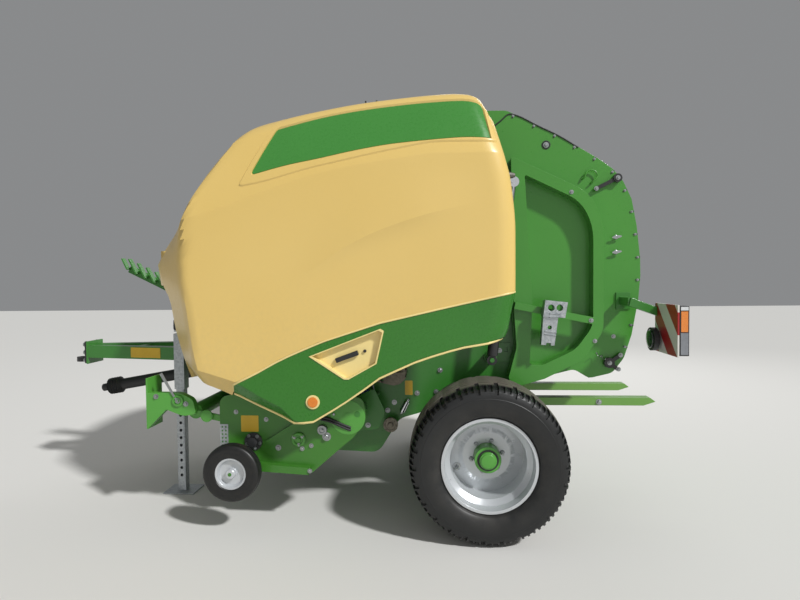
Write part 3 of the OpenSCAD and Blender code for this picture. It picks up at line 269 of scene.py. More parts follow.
def copies(pattern, name, body, finish, spots, sides=(-1, 1), smooth=34):
    """Sets a copy of a pattern at each spot: x, y out from the middle, z, then its turn about Y. The
    pattern is made for the left side, is mirrored for the right, and is put away after the first use."""
    only()
    for side in sides:
        for x, y, z, *turn in spots:
            twin = bpy.data.objects.new(name, pattern.data.copy())
            swing(twin, turn[0] if turn else 0, "Y")
            if side > 0:
                twin.data.transform(Matrix.Scale(-1, 4, (0, 1, 0)))
                twin.data.flip_normals()
            twin.data.transform(Matrix.Translation(at(x, side * y, z)))
            bpy.context.scene.collection.objects.link(twin)
            twin.select_set(True)
            bpy.context.view_layer.objects.active = twin
    if len(bpy.context.selected_objects) > 1:
        bpy.ops.object.join()
    for home in pattern.users_collection:
        home.objects.unlink(pattern)
    return mount(bpy.context.view_layer.objects.active, name, body, finish, smooth)


def grained(name, slot, scale, detail, dark, light, rough=None, relief=None, **sockets):
    """A finish that one grain drives: its tone from dark to light, and where they are given its
    roughness from valley to crest, and a relief of a strength and a height in metres."""
    made, tree, surface = new_finish(name, slot, **sockets)
    place = add(tree, "TexCoord").outputs["Object"]
    grain = add(tree, "TexNoise", {"Vector": place, "Scale": scale, "Detail": detail})
    tone = add(tree, "Mix", {0: grain, 6: dark, 7: light}, data_type="RGBA")
    feed(surface, {"Base Color": tone})
    if rough:
        gloss = add(tree, "MapRange", {"Value": grain, "To Min": rough[0], "To Max": rough[1]})
        feed(surface, {"Roughness": gloss})
    if relief:
        bump = add(tree, "Bump", {"Height": grain, "Strength": relief[0], "Distance": relief[1]})
        feed(surface, {"Normal": bump})
    return made


# Plated steel: a grey mirror broken by fine grain, so that it shows as soft bright spots.
zinc = grained("zinc_plated_steel", "galvanised", 90.0, 5.0, "#8E9293", "#B9BCBC", (0.3, 0.5), Metallic=1.0)


def bolts(name, body, across_flats, spots, sides=(-1, 1)):
    """Sets zinc-plated bolts of one size on both sides of the machine."""
    copies(hex_bolt(across_flats), name, body, zinc, spots, sides)


wall_face = 612
wall_bolt = 19
bolts("wall_bolts", "chassis", wall_bolt,
      [(x, wall_face, z) for x, z in (
          (-1880, 1010), (-1880, 1085), (-1820, 1010), (-1820, 1085), (-1560, 1060), (-1560, 1120),
          (-690, 700), (-640, 760), (-330, 840), (-300, 1000), (-150, 700), (120, 700), (200, 900),
          (-470, 830), (230, 1040), (-1180, 930))])


# Plate with a square hole beside the tailgate's foot, where the lower lock hooks in. Flame-cut steel,
# welded to the wall and painted with it.
def box(size, place=(0, 0, 0)):
    """A box of a size at a place in metres, alone in the selection, to be shaped further."""
    only()
    bpy.ops.mesh.primitive_cube_add(size=1, location=place, scale=size)
    bpy.ops.object.transform_apply(location=True, scale=True)
    return bpy.context.object


lock_plate = box((0.1, 0.012, 0.14), at(160, -(wall_face + 6), 1130))
with edit():
    pick(lambda middle, normal: normal.y < -0.9)
    bpy.ops.mesh.inset(thickness=0.03)
    bpy.ops.transform.translate(value=(0.018, 0, 0.02))
    bpy.ops.transform.resize(value=(0.6, 1, 0.35))
    bpy.ops.mesh.extrude_region_move(TRANSFORM_OT_translate={"value": (0, 0.011, 0)})
break_edges(lock_plate, 0.0015)
mount(lock_plate, "lock_plate", "chassis", dark_green)
bolts("lock_bolt", "chassis", wall_bolt, [(130, wall_face + 12, 1145)], sides=(-1,))

# Label on the wall. A blank sheet of yellow printed film with round corners, die-cut and stuck on
# the paint.
# Film in the sun: a flat warm yellow, a little faded in patches.
film = grained("yellow_film", "warning_face", 14.0, 3.0, "#C7A01C", "#DBB62E", Roughness=0.32, IOR=1.49)


def face_out(merge=False):
    """In edit mode, turns the faces of a closed shape outwards, with points in one place merged first."""
    bpy.ops.mesh.select_all(action="SELECT")
    if merge:
        bpy.ops.mesh.remove_doubles(threshold=0.00002)
    bpy.ops.mesh.normals_make_consistent(inside=False)


def sticker(name, body, middle, width, height, turn=0):
    """A blank film label with round corners on a face that looks to -Y, turned about Z."""
    only()
    bpy.ops.mesh.primitive_plane_add(size=1, location=(0, 0, 0))
    label = bpy.context.object
    label.scale = (width, height, 1)
    bpy.ops.object.transform_apply(scale=True)
    with edit():
        bpy.ops.mesh.select_all(action="SELECT")
        bpy.ops.mesh.bevel(offset=0.006, segments=4, affect="VERTICES")
        bpy.ops.mesh.extrude_region_move(TRANSFORM_OT_translate={"value": (0, 0, 0.0006)})
        face_out()
    label.rotation_euler = (math.pi / 2, 0, math.radians(turn))
    label.location = middle
    mount(label, name, body, film)


sticker("wall_label", "chassis", at(-532, -wall_face, 868), 0.056, 0.106)

# Drive parts beside the walls: grease distributor with blue caps, a perforated coupling wheel, a bright
# accumulator and a pipe, all bolted to the left wall. Cast, machined and plated pieces.
# Bare casting under a film of oil and dust: brownish grey, rough, with a pitted skin.
cast = grained("cast_steel", "tine_steel", 60.0, 6.0, "#5F5A50", "#9A9384", relief=(0.25, 0.001),
               Metallic=0.75, Roughness=0.55)


def turned(rows, steps=48):
    """A piece turned about an axle along Y, from rows of radius and place on the axle in millimetres.
    The first and last row close on each other, or on the axle itself where their radius is 0."""
    only()
    bpy.ops.mesh.primitive_plane_add(size=0.01, location=(0, 0, 0))
    piece = bpy.context.object
    with edit():
        bpy.ops.mesh.select_mode(type="VERT")
        bpy.ops.mesh.select_all(action="SELECT")
        bpy.ops.mesh.merge(type="CENTER")
        spots = [Vector((radius / 1000, place / 1000, 0)) for radius, place in rows]
        bpy.ops.transform.translate(value=spots[0])
        for start, end in zip(spots, spots[1:] + ([] if rows[0][0] == 0 else spots[:1])):
            bpy.ops.mesh.extrude_region_move(TRANSFORM_OT_translate={"value": end - start})
        bpy.ops.mesh.select_all(action="SELECT")
        bpy.ops.mesh.spin(steps=steps, angle=2 * math.pi, center=(0, 0, 0), axis=(0, 1, 0))
        face_out(merge=True)
    return piece


def cut_away(piece, cutter):
    """Cuts one piece out of another and removes the cutter."""
    modify(piece, "BOOLEAN", object=cutter)
    bpy.data.objects.remove(cutter)


def drill(piece, radius, depth, spot, vertices):
    """Drills a hole along Y into a piece."""
    only()
    bpy.ops.mesh.primitive_cylinder_add(vertices=vertices, radius=radius, depth=depth, location=spot,
                                        rotation=(math.pi / 2, 0, 0))
    cut_away(piece, bpy.context.object)


# The coupling wheel on its stub shaft, with eight bores
coupling = turned([(0, 0), (24, 0), (24, -60), (51, -62), (54, -66), (54, -84), (51, -88), (38, -88),
                   (36, -84), (20, -84), (20, -96), (17, -99), (0, -99)], 40)
for k in range(8):
    turn = math.pi / 4 * k
    drill(coupling, 0.0055, 0.012, (0.044 * math.cos(turn), -0.088, 0.044 * math.sin(turn)), 14)
copies(coupling, "coupling_wheel", "chassis", cast, [(-663, wall_face, 612)], sides=(-1,))

# Moulded polyamide: a deep blue with a soft sheen, a little lighter where it has chalked.
blue = grained("blue_polyamide", "shaft_guard", 70.0, 4.0, "#12307E", "#3C62B8", Roughness=0.4, IOR=1.53)
copies(turned([(0, 0), (15, 0), (15, -34), (19, -36), (19, -50), (16, -54), (0, -54)], 14),
       "distributor_caps", "chassis", blue,
       [(-872 + 32 * i, wall_face, 770 + 36 * k) for i in range(2) for k in range(3)])

# Hard chrome, ground round the rod: a bright mirror with fine rings that blur it a little.
chrome = grained("ground_chrome", "chrome_rod", 120.0, 2.0, "#CDD0D3", "#E2E4E6", (0.08, 0.22), Metallic=1.0)
accumulator = turned([(0, 62), (12, 62), (13, 48), (18, 44), (21, 38), (21, -38), (18, -46), (9, -50),
                      (9, -60), (0, -60)], 32)
swing(accumulator, 90, "X")
swing(accumulator, 28, "Y")
copies(accumulator, "accumulator", "chassis", chrome, [(-562, wall_face + 21, 735)], sides=(-1,))


def pipe(name, body, finish, spots, radius):
    """A bent pipe through spots in millimetres, round in section and closed at both ends."""
    only()
    bpy.ops.curve.primitive_bezier_curve_add(location=(0, 0, 0))
    line = bpy.context.object
    bends = line.data.splines[0].bezier_points
    bends.add(len(spots) - 2)
    for bend, spot in zip(bends, spots):
        bend.co = at(*spot)
        bend.handle_left_type = bend.handle_right_type = "AUTO"
    line.data.bevel_depth = radius / 1000
    line.data.bevel_resolution = 3
    line.data.resolution_u = 8
    line.data.use_fill_caps = True
    bpy.ops.object.convert(target="MESH")
    line = bpy.context.object
    with edit():
        face_out(merge=True)
    mount(line, name, body, finish, 45)


pipe("return_pipe", "chassis", zinc,
     [(-812, -wall_face - 7, 1010), (-800, -wall_face - 9, 917), (-780, -wall_face - 9, 784),
      (-762, -wall_face - 7, 690)], 6)

# Roof between the hoods. Folded steel sheet, bolted down on the walls, with the hood hinges welded
# on at both edges.
roof_green = enamel("roof_green_enamel", "green_enamel", "#42883A", "#3B7E32", grime=0.15)
finish_node(roof_green, "roof", edge=0.003)
bolts("roof_bolts", "chassis", wall_bolt, [(-700, wall_face, 2790), (-400, wall_face, 2790)])

# Front cover between the hoods. One moulded shell with a crowned face, in the hoods' cream gel coat,
# screwed to the walls. The coat is made here, with the soft style line that the hoods show.
cream, tree, surface = new_finish("cream_moulding", "cream_shell", IOR=1.5, Coat_Weight=0.08,
                                  Coat_Roughness=0.15)
# Gel-coated moulding: a warm cream with a deep soft gloss, a slow wave in its surface, and faint dust
# low down.
place = add(tree, "TexCoord").outputs["Object"]
axes = add(tree, "SeparateXYZ", {"Vector": place}).outputs
drift = add(tree, "TexNoise", {"Vector": place, "Scale": 1.1, "Detail": 3.0})
tone = add(tree, "Mix", {0: drift, 6: "#DDBC6B", 7: "#E4C579"}, data_type="RGBA")
low = add(tree, "MapRange",
          {"Value": axes["Z"], "From Min": 0.8, "From Max": 1.7, "To Min": 0.16, "To Max": 0.02})
specks = add(tree, "TexNoise", {"Vector": place, "Scale": 38.0, "Detail": 6.0, "Roughness": 0.7})
patchy = add(tree, "MapRange", {"Value": specks, "From Min": 0.42, "From Max": 0.7})
dust = add(tree, "Math", {0: low, 1: patchy}, operation="MULTIPLY")
dusty = add(tree, "Mix", {0: dust, 6: tone, 7: "#A69A7C"}, data_type="RGBA")
gloss = add(tree, "MapRange",
            {"Value": specks, "From Min": 0.3, "From Max": 0.7, "To Min": 0.3, "To Max": 0.42})
# The style line is a shallow step that follows a curve, given as place along and height. It swells
# from below, settles above, and fades towards both ends.
line_x, line_z = (-1300, 0), (1600, 2200)
line_spots = [((x - line_x[0]) / (line_x[1] - line_x[0]), (z - line_z[0]) / (line_z[1] - line_z[0]))
              for x, z in ((-1300, 1640), (-1151, 1707), (-989, 1813), (-809, 1917), (-514, 2031),
                           (-182, 2116), (0, 2150))]
along = add(tree, "MapRange", {"Value": axes["X"], "From Min": at(line_x[0], 0, 0).x,
                               "From Max": at(line_x[1], 0, 0).x})
curve = add(tree, "FloatCurve", {"Value": along})
knots = curve.mapping.curves[0].points
for spot in line_spots[1:-1]:
    knots.new(*spot)
knots[0].location = line_spots[0]
knots[len(knots) - 1].location = line_spots[-1]
curve.mapping.update()
line_height = add(tree, "MapRange",
                  {"Value": curve, "To Min": line_z[0] / 1000, "To Max": line_z[1] / 1000})
above = add(tree, "Math", {0: axes["Z"], 1: line_height}, operation="SUBTRACT")
below = add(tree, "MapRange", {"Value": above, "From Min": -0.13, "From Max": 0.0})
step = add(tree, "Math", {0: below, 1: 2.0}, operation="POWER")
settle, fade_in, fade_out = (
    add(tree, "MapRange", {"Value": value, "From Min": start, "From Max": end},
        interpolation_type="SMOOTHSTEP")
    for value, start, end in ((above, 0.4, 0.0), (along, 0.0, 0.45), (along, 1.0, 0.6)))
swell = add(tree, "Math", {0: step, 1: settle}, operation="MULTIPLY")
faded = add(tree, "Math", {0: fade_in, 1: fade_out}, operation="MULTIPLY")
raised = add(tree, "Math", {0: swell, 1: faded}, operation="MULTIPLY")
line_bump = add(tree, "Bump", {"Height": raised, "Strength": 1.0, "Distance": 0.016})
wave = add(tree, "TexNoise", {"Vector": place, "Scale": 90.0, "Detail": 1.0})
bump = add(tree, "Bump", {"Height": wave, "Strength": 0.04, "Distance": 0.001, "Normal": line_bump})
feed(surface, {"Base Color": dusty, "Roughness": gloss, "Normal": bump})
finish_node(cream, "front_cover", edge=0, smooth=40)

# Drawbar. Two box beams welded from steel tube that meet at a nose plate, with the towing eye's
# forging bolted in front of it, and a blank label on the left beam.
finish_node(dark_green, "drawbar", edge=0.003)
black_steel = enamel("black_enamel", "dark_steel", "#242526", "#1D1E1F", 0.38, grime=0.15)
finish_node(black_steel, "towing_eye", edge=0.003)
eye_bolt = hex_bolt(30)
swing(eye_bolt, -90, "Z")
copies(eye_bolt, "towing_eye_bolts", "chassis", zinc, [(-3370, 74, z) for z in (1000, 1067, 1134)])
beam_run, beam_spread, beam_nose, label_x = 1510, 283, -3350, -2760
beam_face = 62 + beam_spread * (label_x - beam_nose) / beam_run + 45
sticker("drawbar_label", "chassis", at(label_x, -beam_face - 0.2, 1080), 0.29, 0.085,
        -math.degrees(math.atan2(beam_spread, beam_run)))

# Parking jack. Hot-dip galvanised square tube with the leg sliding in it on a row of pin holes; a
# crank with a moulded knob sits on top, and the tube is welded to the drawbar.
galvanised, tree, surface = new_finish("galvanised_steel", "galvanised", Metallic=0.85)
# Hot-dip zinc: dull grey with crystals about 12 mm across that catch the light one by one.
place = add(tree, "TexCoord").outputs["Object"]
spangle = add(tree, "TexVoronoi", {"Vector": place, "Scale": 80.0}).outputs["Color"]
tone = add(tree, "Mix", {0: spangle, 6: "#9EA4A8", 7: "#C4C8CA"}, data_type="RGBA")
gloss = add(tree, "MapRange", {"Value": spangle, "To Min": 0.38, "To Max": 0.58})
feed(surface, {"Base Color": tone, "Roughness": gloss})
finish_node(galvanised, "jack_tube", edge=0.003)
jack_leg = finish_node(galvanised, "jack_leg", edge=0.003)
for k in range(11):
    drill(jack_leg, 0.012, 0.03, at(-2360, -442, 130 + 60 * k), 24)
# Moulded polypropylene: near black with a fine leathery grain, greyed a little by the sun.
black = grained("black_polypropylene", "shaft_guard", 260.0, 3.0, "#1B1C1D", "#303132", (0.4, 0.62),
                (0.2, 0.0006), IOR=1.49)
jack_knob = turned([(0, 0), (11, 0), (14, -6), (15, -30), (13, -72), (10, -78), (0, -79)], 20)
swing(jack_knob, -90, "X")
copies(jack_knob, "jack_crank_knob", "chassis", black, [(-2353, 509, 1296)], sides=(-1,))

# Drive shaft in its guard. Moulded black tube with a bell at each end, ribbed so that it bends and
# grips. It is pushed over the shaft's joints and held by a ring.
shaft_start, shaft_end = at(-3270, 0, 745), at(-2100, 0, 950)
shaft_run = shaft_end - shaft_start
shaft_l = shaft_run.length * 1000
bell = [(60 + 12 * (k % 2), 12 * k) for k in range(9)]
guard = turned([(0, 0), (29, 0), (32, -4), (32, -68), (36, -70), (70, -72)]
               + [(radius, -80 - place) for radius, place in bell]
               + [(48, -190), (48, -shaft_l + 165)]
               + [(radius, -shaft_l + 158 - place) for radius, place in bell]
               + [(70, -shaft_l + 50), (70, -shaft_l + 22), (0, -shaft_l + 20)], 40)
shaft_turn = Vector((0, -1, 0)).rotation_difference(shaft_run)
guard.data.transform(Matrix.Translation(shaft_start) @ shaft_turn.to_matrix().to_4x4())
mount(guard, "shaft_guard", "chassis", black, 30)
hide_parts("driveshaft")

# Gearbox. Cast iron housing with flanged shafts to both sides, painted with the frame and bolted
# between the drawbar's beams.
finish_node(dark_green, "gearbox", edge=0.012)
bolts("gearbox_bolts", "chassis", 20, [(-2075 + 100 * i, 140, z) for i in range(3) for z in (885, 1105)])

# Hose holder. A square arm welded from steel tube with a comb of flat forks that the hoses lie in,
# sprayed with the frame's enamel.
finish_node(dark_green, "hose_holder", edge=0.003)

# Axle and bale ramp. Round axle tube welded through the walls, and two box beams that a bale rolls
# down over, bolted on behind it; both in a lighter green, the ramp's lighter still as painted sunlight.
light_green = enamel("light_green_enamel", "light_green_enamel", "#55A03E", "#4A9336")
finish_node(light_green, "axle", edge=0.002)
# Painted sunlight: the ramp's green is brighter than the light green enamel, for the sun on its beams.
sunlit_ramp_green = enamel("ramp_green_enamel", "light_green_enamel", "#72A34C", "#669843", grime=0.15)
finish_node(sunlit_ramp_green, "bale_ramp", edge=0.006)
bolts("ramp_bolts", "chassis", 22, [(915, 345, 712), (330, 345, 718)])

# Feed rotor and its floor. Rotor stars cut from wear-resistant plate, welded on a tube and ground
# bright by the crop; the floor under them is pressed sheet.
# Steel polished by straw: bright streaks over a thin film of rust.
worn = grained("worn_steel", "tine_steel", 35.0, 7.0, "#6B5A48", "#B5B4B0", (0.55, 0.28), Metallic=1.0)
finish_node(worn, "feed_rotor", edge=0.0015)
finish_node(dark_green, "feed_floor", edge=0.001)

# Chamber belts and rollers. Woven rubber belts with a diamond grip pattern, vulcanised, run round
# steel rollers that turn in the walls.
belting, tree, surface = new_finish("belt_rubber", "belt_rubber", Roughness=0.75, IOR=1.5)
# Vulcanised belting: matt grey black, small diamonds 22 mm apart, greyed by chaff.
place = add(tree, "TexCoord").outputs["Object"]
chaff = add(tree, "TexNoise", {"Vector": place, "Scale": 12.0, "Detail": 5.0})
tone = add(tree, "Mix", {0: chaff, 6: "#262625", 7: "#47453F"}, data_type="RGBA")
diamonds = add(tree, "TexVoronoi", {"Vector": place, "Scale": 45.0, "Randomness": 0.0},
               distance="MANHATTAN")
bump = add(tree, "Bump", {"Height": diamonds, "Strength": 0.5, "Distance": 0.002})
feed(surface, {"Base Color": tone, "Normal": bump})
finish_node(belting, "chamber_belts", "tailgate_rollers", edge=0)

# Side drive. Roller chains on flame-cut sprockets, run in oil, on the left wall; folded steel shields
# are bolted over the discs on both walls.
finish_node(cast, "side_drive", edge=0.001)
finish_node(dark_green, "drive_shields", edge=0.0015)
bolts("shield_bolts", "chassis", wall_bolt, [(-818, 768, 628), (-938, 768, 640), (-900, 768, 800)])

# Road tyres. Moulded rubber on a steel-belted carcass, with zigzag grooves round the tread, deep cuts across
# the shoulders, and notches down their flanks; the rows below are the section that the mould gives.
wheel_middle, wheel_axis = 1060, 507
tyre_section = [(287.3, 200), (303, 204), (312, 222), (320, 229), (332, 235), (350, 242.5), (372, 247.5),
                (400, 250), (418, 249.2), (421, 250), (425, 250), (428, 248.2), (440, 248), (452, 244.5),
                (462, 241), (470, 238), (480, 227), (490, 215), (495, 192), (499, 170), (501.5, 150),
                (504, 127), (505, 116), (506, 104), (507, 74), (507, 62), (507, 26), (507, 14)]
tread_pitches, cells = 26, 9
groove_rows = ((14, 26), (62, 74), (104, 116))


def both_halves(section):
    """A wheel's whole section from rows of radius and place for one half."""
    return section + [(radius, -place) for radius, place in reversed(section)]


def around(middle):
    """Radius from the axle, share of one tread pitch, and place across the tread, in millimetres."""
    turn = math.degrees(math.atan2(middle.z, middle.x)) % 360
    return math.hypot(middle.x, middle.z) * 1000, turn * tread_pitches / 360 % 1, abs(middle.y) * 1000


def is_groove(middle, normal):
    """The faces that sink: grooves round the tread, cuts across the shoulder, notches in its flank."""
    radius, share, out = around(middle)
    cell = int(share * cells)
    if any(low < out < high for low, high in groove_rows) and radius > 500:
        return True
    if cell in (0, 1) and (out > 116 and radius > 456):
        return True
    return cell in (3, 4, 6, 7) and 470 < radius < 500 and out > 170


tyre = turned(both_halves(tyre_section), tread_pitches * cells)
only(tyre)
with edit():
    pick(is_groove)
    bpy.ops.mesh.extrude_region_shrink_fatten(TRANSFORM_OT_shrink_fatten={"value": -0.013})
# The grooves run in a zigzag: the tread's middle is moved across, to and fro once in a pitch.
for vertex in tyre.data.vertices:
    radius, share, out = around(vertex.co)
    if radius > 480:
        sway = abs(2 * share - 1) * 2 - 1
        vertex.co.y += 0.009 * sway * min(1, max(0, (165 - out) / 45))
rubber, tree, surface = new_finish("tyre_rubber", "tyre", IOR=1.5)
# Carbon-black rubber: matt dark grey, dusty on the tread, with a brown bloom of road dust on the sidewall.
place = add(tree, "TexCoord").outputs["Object"]
grain = add(tree, "TexNoise", {"Vector": place, "Scale": 9.0, "Detail": 8.0, "Roughness": 0.65})
tone = add(tree, "Mix", {0: grain, 6: "#141515", 7: "#202121"}, data_type="RGBA")
centred = add(tree, "Mapping", {"Vector": place, "Location": (-axle_x, 0, -wheel_axis / 1000)})
flat = add(tree, "VectorMath", {0: centred, 1: (1, 0, 1)}, operation="MULTIPLY")
reach = add(tree, "VectorMath", {0: flat}, operation="LENGTH").outputs["Value"]
on_tread = add(tree, "MapRange",
               {"Value": reach, "From Min": 0.497, "From Max": 0.503, "To Min": 0.0, "To Max": 0.7})
near_rim = add(tree, "MapRange",
               {"Value": reach, "From Min": 0.42, "From Max": 0.31, "To Min": 0.0, "To Max": 0.1})
patchy = add(tree, "MapRange", {"Value": grain, "From Min": 0.36, "From Max": 0.62})
bloom = add(tree, "Math", {0: near_rim, 1: patchy}, operation="MULTIPLY")
dust = add(tree, "Math", {0: on_tread, 1: bloom}, operation="MAXIMUM")
dusty = add(tree, "Mix", {0: dust, 6: tone, 7: "#787167"}, data_type="RGBA")
gloss = add(tree, "MapRange", {"Value": grain, "To Min": 0.34, "To Max": 0.6})
skin = add(tree, "TexNoise", {"Vector": place, "Scale": 220.0, "Detail": 3.0})
bump = add(tree, "Bump", {"Height": skin, "Strength": 0.2, "Distance": 0.0008})
feed(surface, {"Base Color": dusty, "Roughness": gloss, "Normal": bump})


both_sides = (("left", -1), ("right", 1))


def on_both(body, *rows):
    """Sets patterns on the left and the right body of a pair, each as a piece of its own. A row has the
    pattern, name, finish and spots, then its shading angle and the node that it stands for."""
    for side, sign in both_sides:
        for pattern, name, finish, spots, *more in rows:
            smooth, node = more or (34, None)
            piece = copies(pattern, f"{name}_{side}", f"{body}_{side}", finish, spots, (sign,), smooth)
            if node:
                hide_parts(f"{node}_{side}")


on_both("wheel", (tyre, "tyre_tread", rubber, [(0, wheel_middle, wheel_axis)], 28, "tyre"))
bpy.data.objects.remove(tyre)

# Rims and hubs. Rolled steel rims welded to a dished disc and sprayed silver; cast hubs in light green,
# held by six studs, with a valve through the well.
silver = enamel("silver_enamel", "wheel_silver", "#CCCFD2", "#C2C6C9", 0.3, grime=0.03, Metallic=0.4)
finish_node(silver, "rim_left", "rim_right", edge=0.0025)
finish_node(light_green, "hub_left", "hub_right", edge=0.004)


def on_circle(radius, x, y, z, angles):
    """Spots on a circle round an axis along Y, one for each angle."""
    return [(x + radius * math.cos(a), y, z + radius * math.sin(a)) for a in angles]


stud_circle = 103
cone_nut = turned([(0, 0), (17, 0), (13, -8), (13, -22), (8, -23), (8, -38), (6, -40), (0, -40)], 6)
studs = on_circle(stud_circle, 0, wheel_middle - 10, wheel_axis,
                  [math.radians(a) for a in range(12, 372, 60)])
valve = turned([(0, 0), (27, 0), (27, -5), (20, -8), (13, -8), (12, -14), (9, -20), (9, -66), (7, -72),
                (0, -72)], 18)
on_both("wheel", (cone_nut, "wheel_nuts", zinc, studs),
        (valve, "tyre_valve", zinc, [(-196, wheel_middle - 32, wheel_axis - 80)]))
# A black ring round the grease cap: painted shade of the hub's recess, made as a seal ring.
recess_shade_ring = turned([(56.5, 0), (66, 0), (68, -2), (68, -4), (56.5, -4)], 48)
on_both("wheel", (recess_shade_ring, "hub_seal", black, [(0, wheel_middle + 90, wheel_axis)]))
grease_cap = turned([(0, 0), (47, 0), (47, -4), (43, -8), (24, -10), (0, -10)], 36)
on_both("wheel", (grease_cap, "grease_cap", light_green, [(0, wheel_middle + 112, wheel_axis)]))

# Hoods. Each is one large moulded shell 20 mm thick, cream above and green below, with a raised lip and a
# pocket for the green band at its shoulder; a light bead runs round the green part, and two hinges hold it.
hood_out, hood_depth, hood_wall, hood_length = 1205, 400, 20, 2240
# Front edge: height, place along, width of the slanted part. Rear edge: height, place along.
hood_front = [(940, -2080, 270), (1101, -2141, 280), (1320, -2203, 320), (1537, -2243, 325),
              (1646, -2290, 360), (1790, -2312, 385), (1912, -2248, 310), (2068, -2155, 220),
              (2237, -2040, 170), (2405, -1926, 160), (2696, -1716, 160), (2800, -1640, 160)]
hood_rear = [(1270, 76), (1313, 123), (1450, 152), (1605, 180), (1963, 181), (2283, 152), (2455, 110),
             (2743, 45)]
# Lines from front to rear, each as share of the way back and height
hood_split = [(0, 975), (0.08, 1022), (0.136, 972), (0.19, 915), (0.212, 1002), (0.291, 1074),
              (0.374, 1164), (0.437, 1222), (0.546, 1317), (0.654, 1399), (0.81, 1485), (0.91, 1539),
              (1, 1587)]
hood_shoulder = [(0, 2030), (0.119, 2088), (0.186, 2146), (0.264, 2220), (0.343, 2283), (0.438, 2343),
                 (0.543, 2387), (0.677, 2424), (0.802, 2448), (1, 2447)]
hood_lip = [(0, 2110), (0.2, 2265), (0.262, 2290), (0.386, 2364), (0.504, 2417), (0.648, 2475),
            (0.802, 2517), (1, 2510)]
band_low = [(0, 2215), (0.226, 2352), (0.323, 2406), (0.419, 2442), (0.527, 2486), (0.646, 2521),
            (0.769, 2539), (0.885, 2550), (1, 2537)]
band_high = [(0, 2555), (0.211, 2652), (0.361, 2721), (0.487, 2758), (0.625, 2784), (0.746, 2798),
             (0.88, 2805), (0.943, 2789), (0.965, 2765), (1, 2660)]
hood_top = [(0, 2650), (0.047, 2668), (0.114, 2744), (0.212, 2788), (0.325, 2825), (0.487, 2863),
            (0.646, 2887), (0.764, 2900), (0.845, 2904), (0.901, 2897), (0.939, 2875), (0.977, 2794),
            (1, 2740)]
hood_low = [(0.2, 922), (0.291, 838), (0.391, 742), (0.446, 749), (0.528, 854), (0.654, 1034),
            (0.775, 1149), (0.889, 1225), (0.972, 1256), (1, 1276)]
hood_fold = [(0, 1105), (0.105, 1101), (0.16, 1063), (0.219, 1018), (0.278, 931), (0.351, 851),
             (0.402, 744)]
# How the face leans in above the shoulder: share of the height, share of the depth
hood_crown = [(0, 0), (0.1, 0.03), (0.55, 0.2), (0.75, 0.3), (0.85, 0.38), (0.93, 0.52), (0.975, 0.72),
              (1, 1)]
# Rounding where the slant starts, as share of its width, run and drop of the rolled rear edge, and how
# steeply the face turns in below the fold
slant_round, rear_run, rear_drop, fold_slope = 0.22, 130, 75, 0.6


def mixed(a, b, share):
    return a + (b - a) * share


def straight(rows, place):
    """Value at a place on straight lines through rows of place and value."""
    place = min(max(place, rows[0][0]), rows[-1][0])
    for (x0, y0, *_), (x1, y1, *_) in zip(rows, rows[1:]):
        if place <= x1:
            return mixed(y0, y1, (place - x0) / (x1 - x0))


def eased(rows, place, column=1):
    """Value at a place on a smooth curve through rows of place and value."""
    place = min(max(place, rows[0][0]), rows[-1][0])
    k = next(i for i in range(len(rows) - 1) if place <= rows[i + 1][0])
    slopes = [(b[column] - a[column]) / (b[0] - a[0]) for a, b in zip(rows, rows[1:])]
    leans = [slopes[0]] + [0 if a * b <= 0 else 2 * a * b / (a + b) for a, b in zip(slopes, slopes[1:])]
    leans.append(slopes[-1])
    run = rows[k + 1][0] - rows[k][0]
    t = (place - rows[k][0]) / run
    return ((2 * t ** 3 - 3 * t ** 2 + 1) * rows[k][column] + (t ** 3 - 2 * t ** 2 + t) * run * leans[k]
            + (3 * t ** 2 - 2 * t ** 3) * rows[k + 1][column] + (t ** 3 - t ** 2) * run * leans[k + 1])


def hood_skin(share, z):
    """Point of the hood's face on the right side, from the axle, in millimetres."""
    front, rear = eased(hood_front, z), eased(hood_rear, z)
    x = mixed(front, rear, share)
    slant = max(0, min(1, 1 - (x - front) / eased(hood_front, z, 2)))
    slant = (slant * slant / (2 * slant_round) if slant < slant_round else slant - slant_round / 2)
    slant /= 1 - slant_round / 2
    low, high = eased(hood_shoulder, share), eased(hood_top, share)
    crown = eased(hood_crown, (z - low) / (high - low))
    turn = max(0, min(1, 1 - (rear - x) / rear_run))
    fold = fold_slope * max(0, straight(hood_fold, share) - z)
    sunk = (slant + crown) * hood_depth + rear_drop * (1 - math.sqrt(1 - turn * turn)) + fold
    return Vector((x, hood_out - min(sunk, hood_depth), z))


def hood_point(share, z, inset):
    """The same, set in along the face's own normal."""
    back = hood_skin(min(1, share + 0.004), z) - hood_skin(max(0, share - 0.004), z)
    rise = hood_skin(share, z + 3) - hood_skin(share, z - 3)
    return hood_skin(share, z) - inset * rise.cross(back).normalized()


def hood_shell(shares, lines, wall):
    """A moulded shell of the left side on the hood's face. lines(share) gives its heights and insets."""
    rows = [lines(share) for share in shares]
    only()
    bpy.ops.mesh.primitive_grid_add(x_subdivisions=len(shares) - 1, y_subdivisions=len(rows[0]) - 1, size=1)
    shell = bpy.context.object
    for vertex in shell.data.vertices:
        i = round((vertex.co.x + 0.5) * (len(shares) - 1))
        j = round((vertex.co.y + 0.5) * (len(rows[0]) - 1))
        spot = hood_point(shares[i], *rows[i][j])
        vertex.co = (spot.x / 1000, -spot.y / 1000, spot.z / 1000)
    with edit():
        face_out()
    if sum(face.normal.y * face.area for face in shell.data.polygons) > 0:
        shell.data.flip_normals()
    modify(shell, "SOLIDIFY", thickness=wall / 1000, offset=-1)
    return shell


def corner_drop(radius, run):
    """How far a round corner draws a line in, at this run from its end."""
    run = min(max(run, 0), radius)
    return radius - math.sqrt(radius * radius - (radius - run) ** 2)


lip_start, pocket_start, pocket_end = 0.196, 0.2178, 0.9658


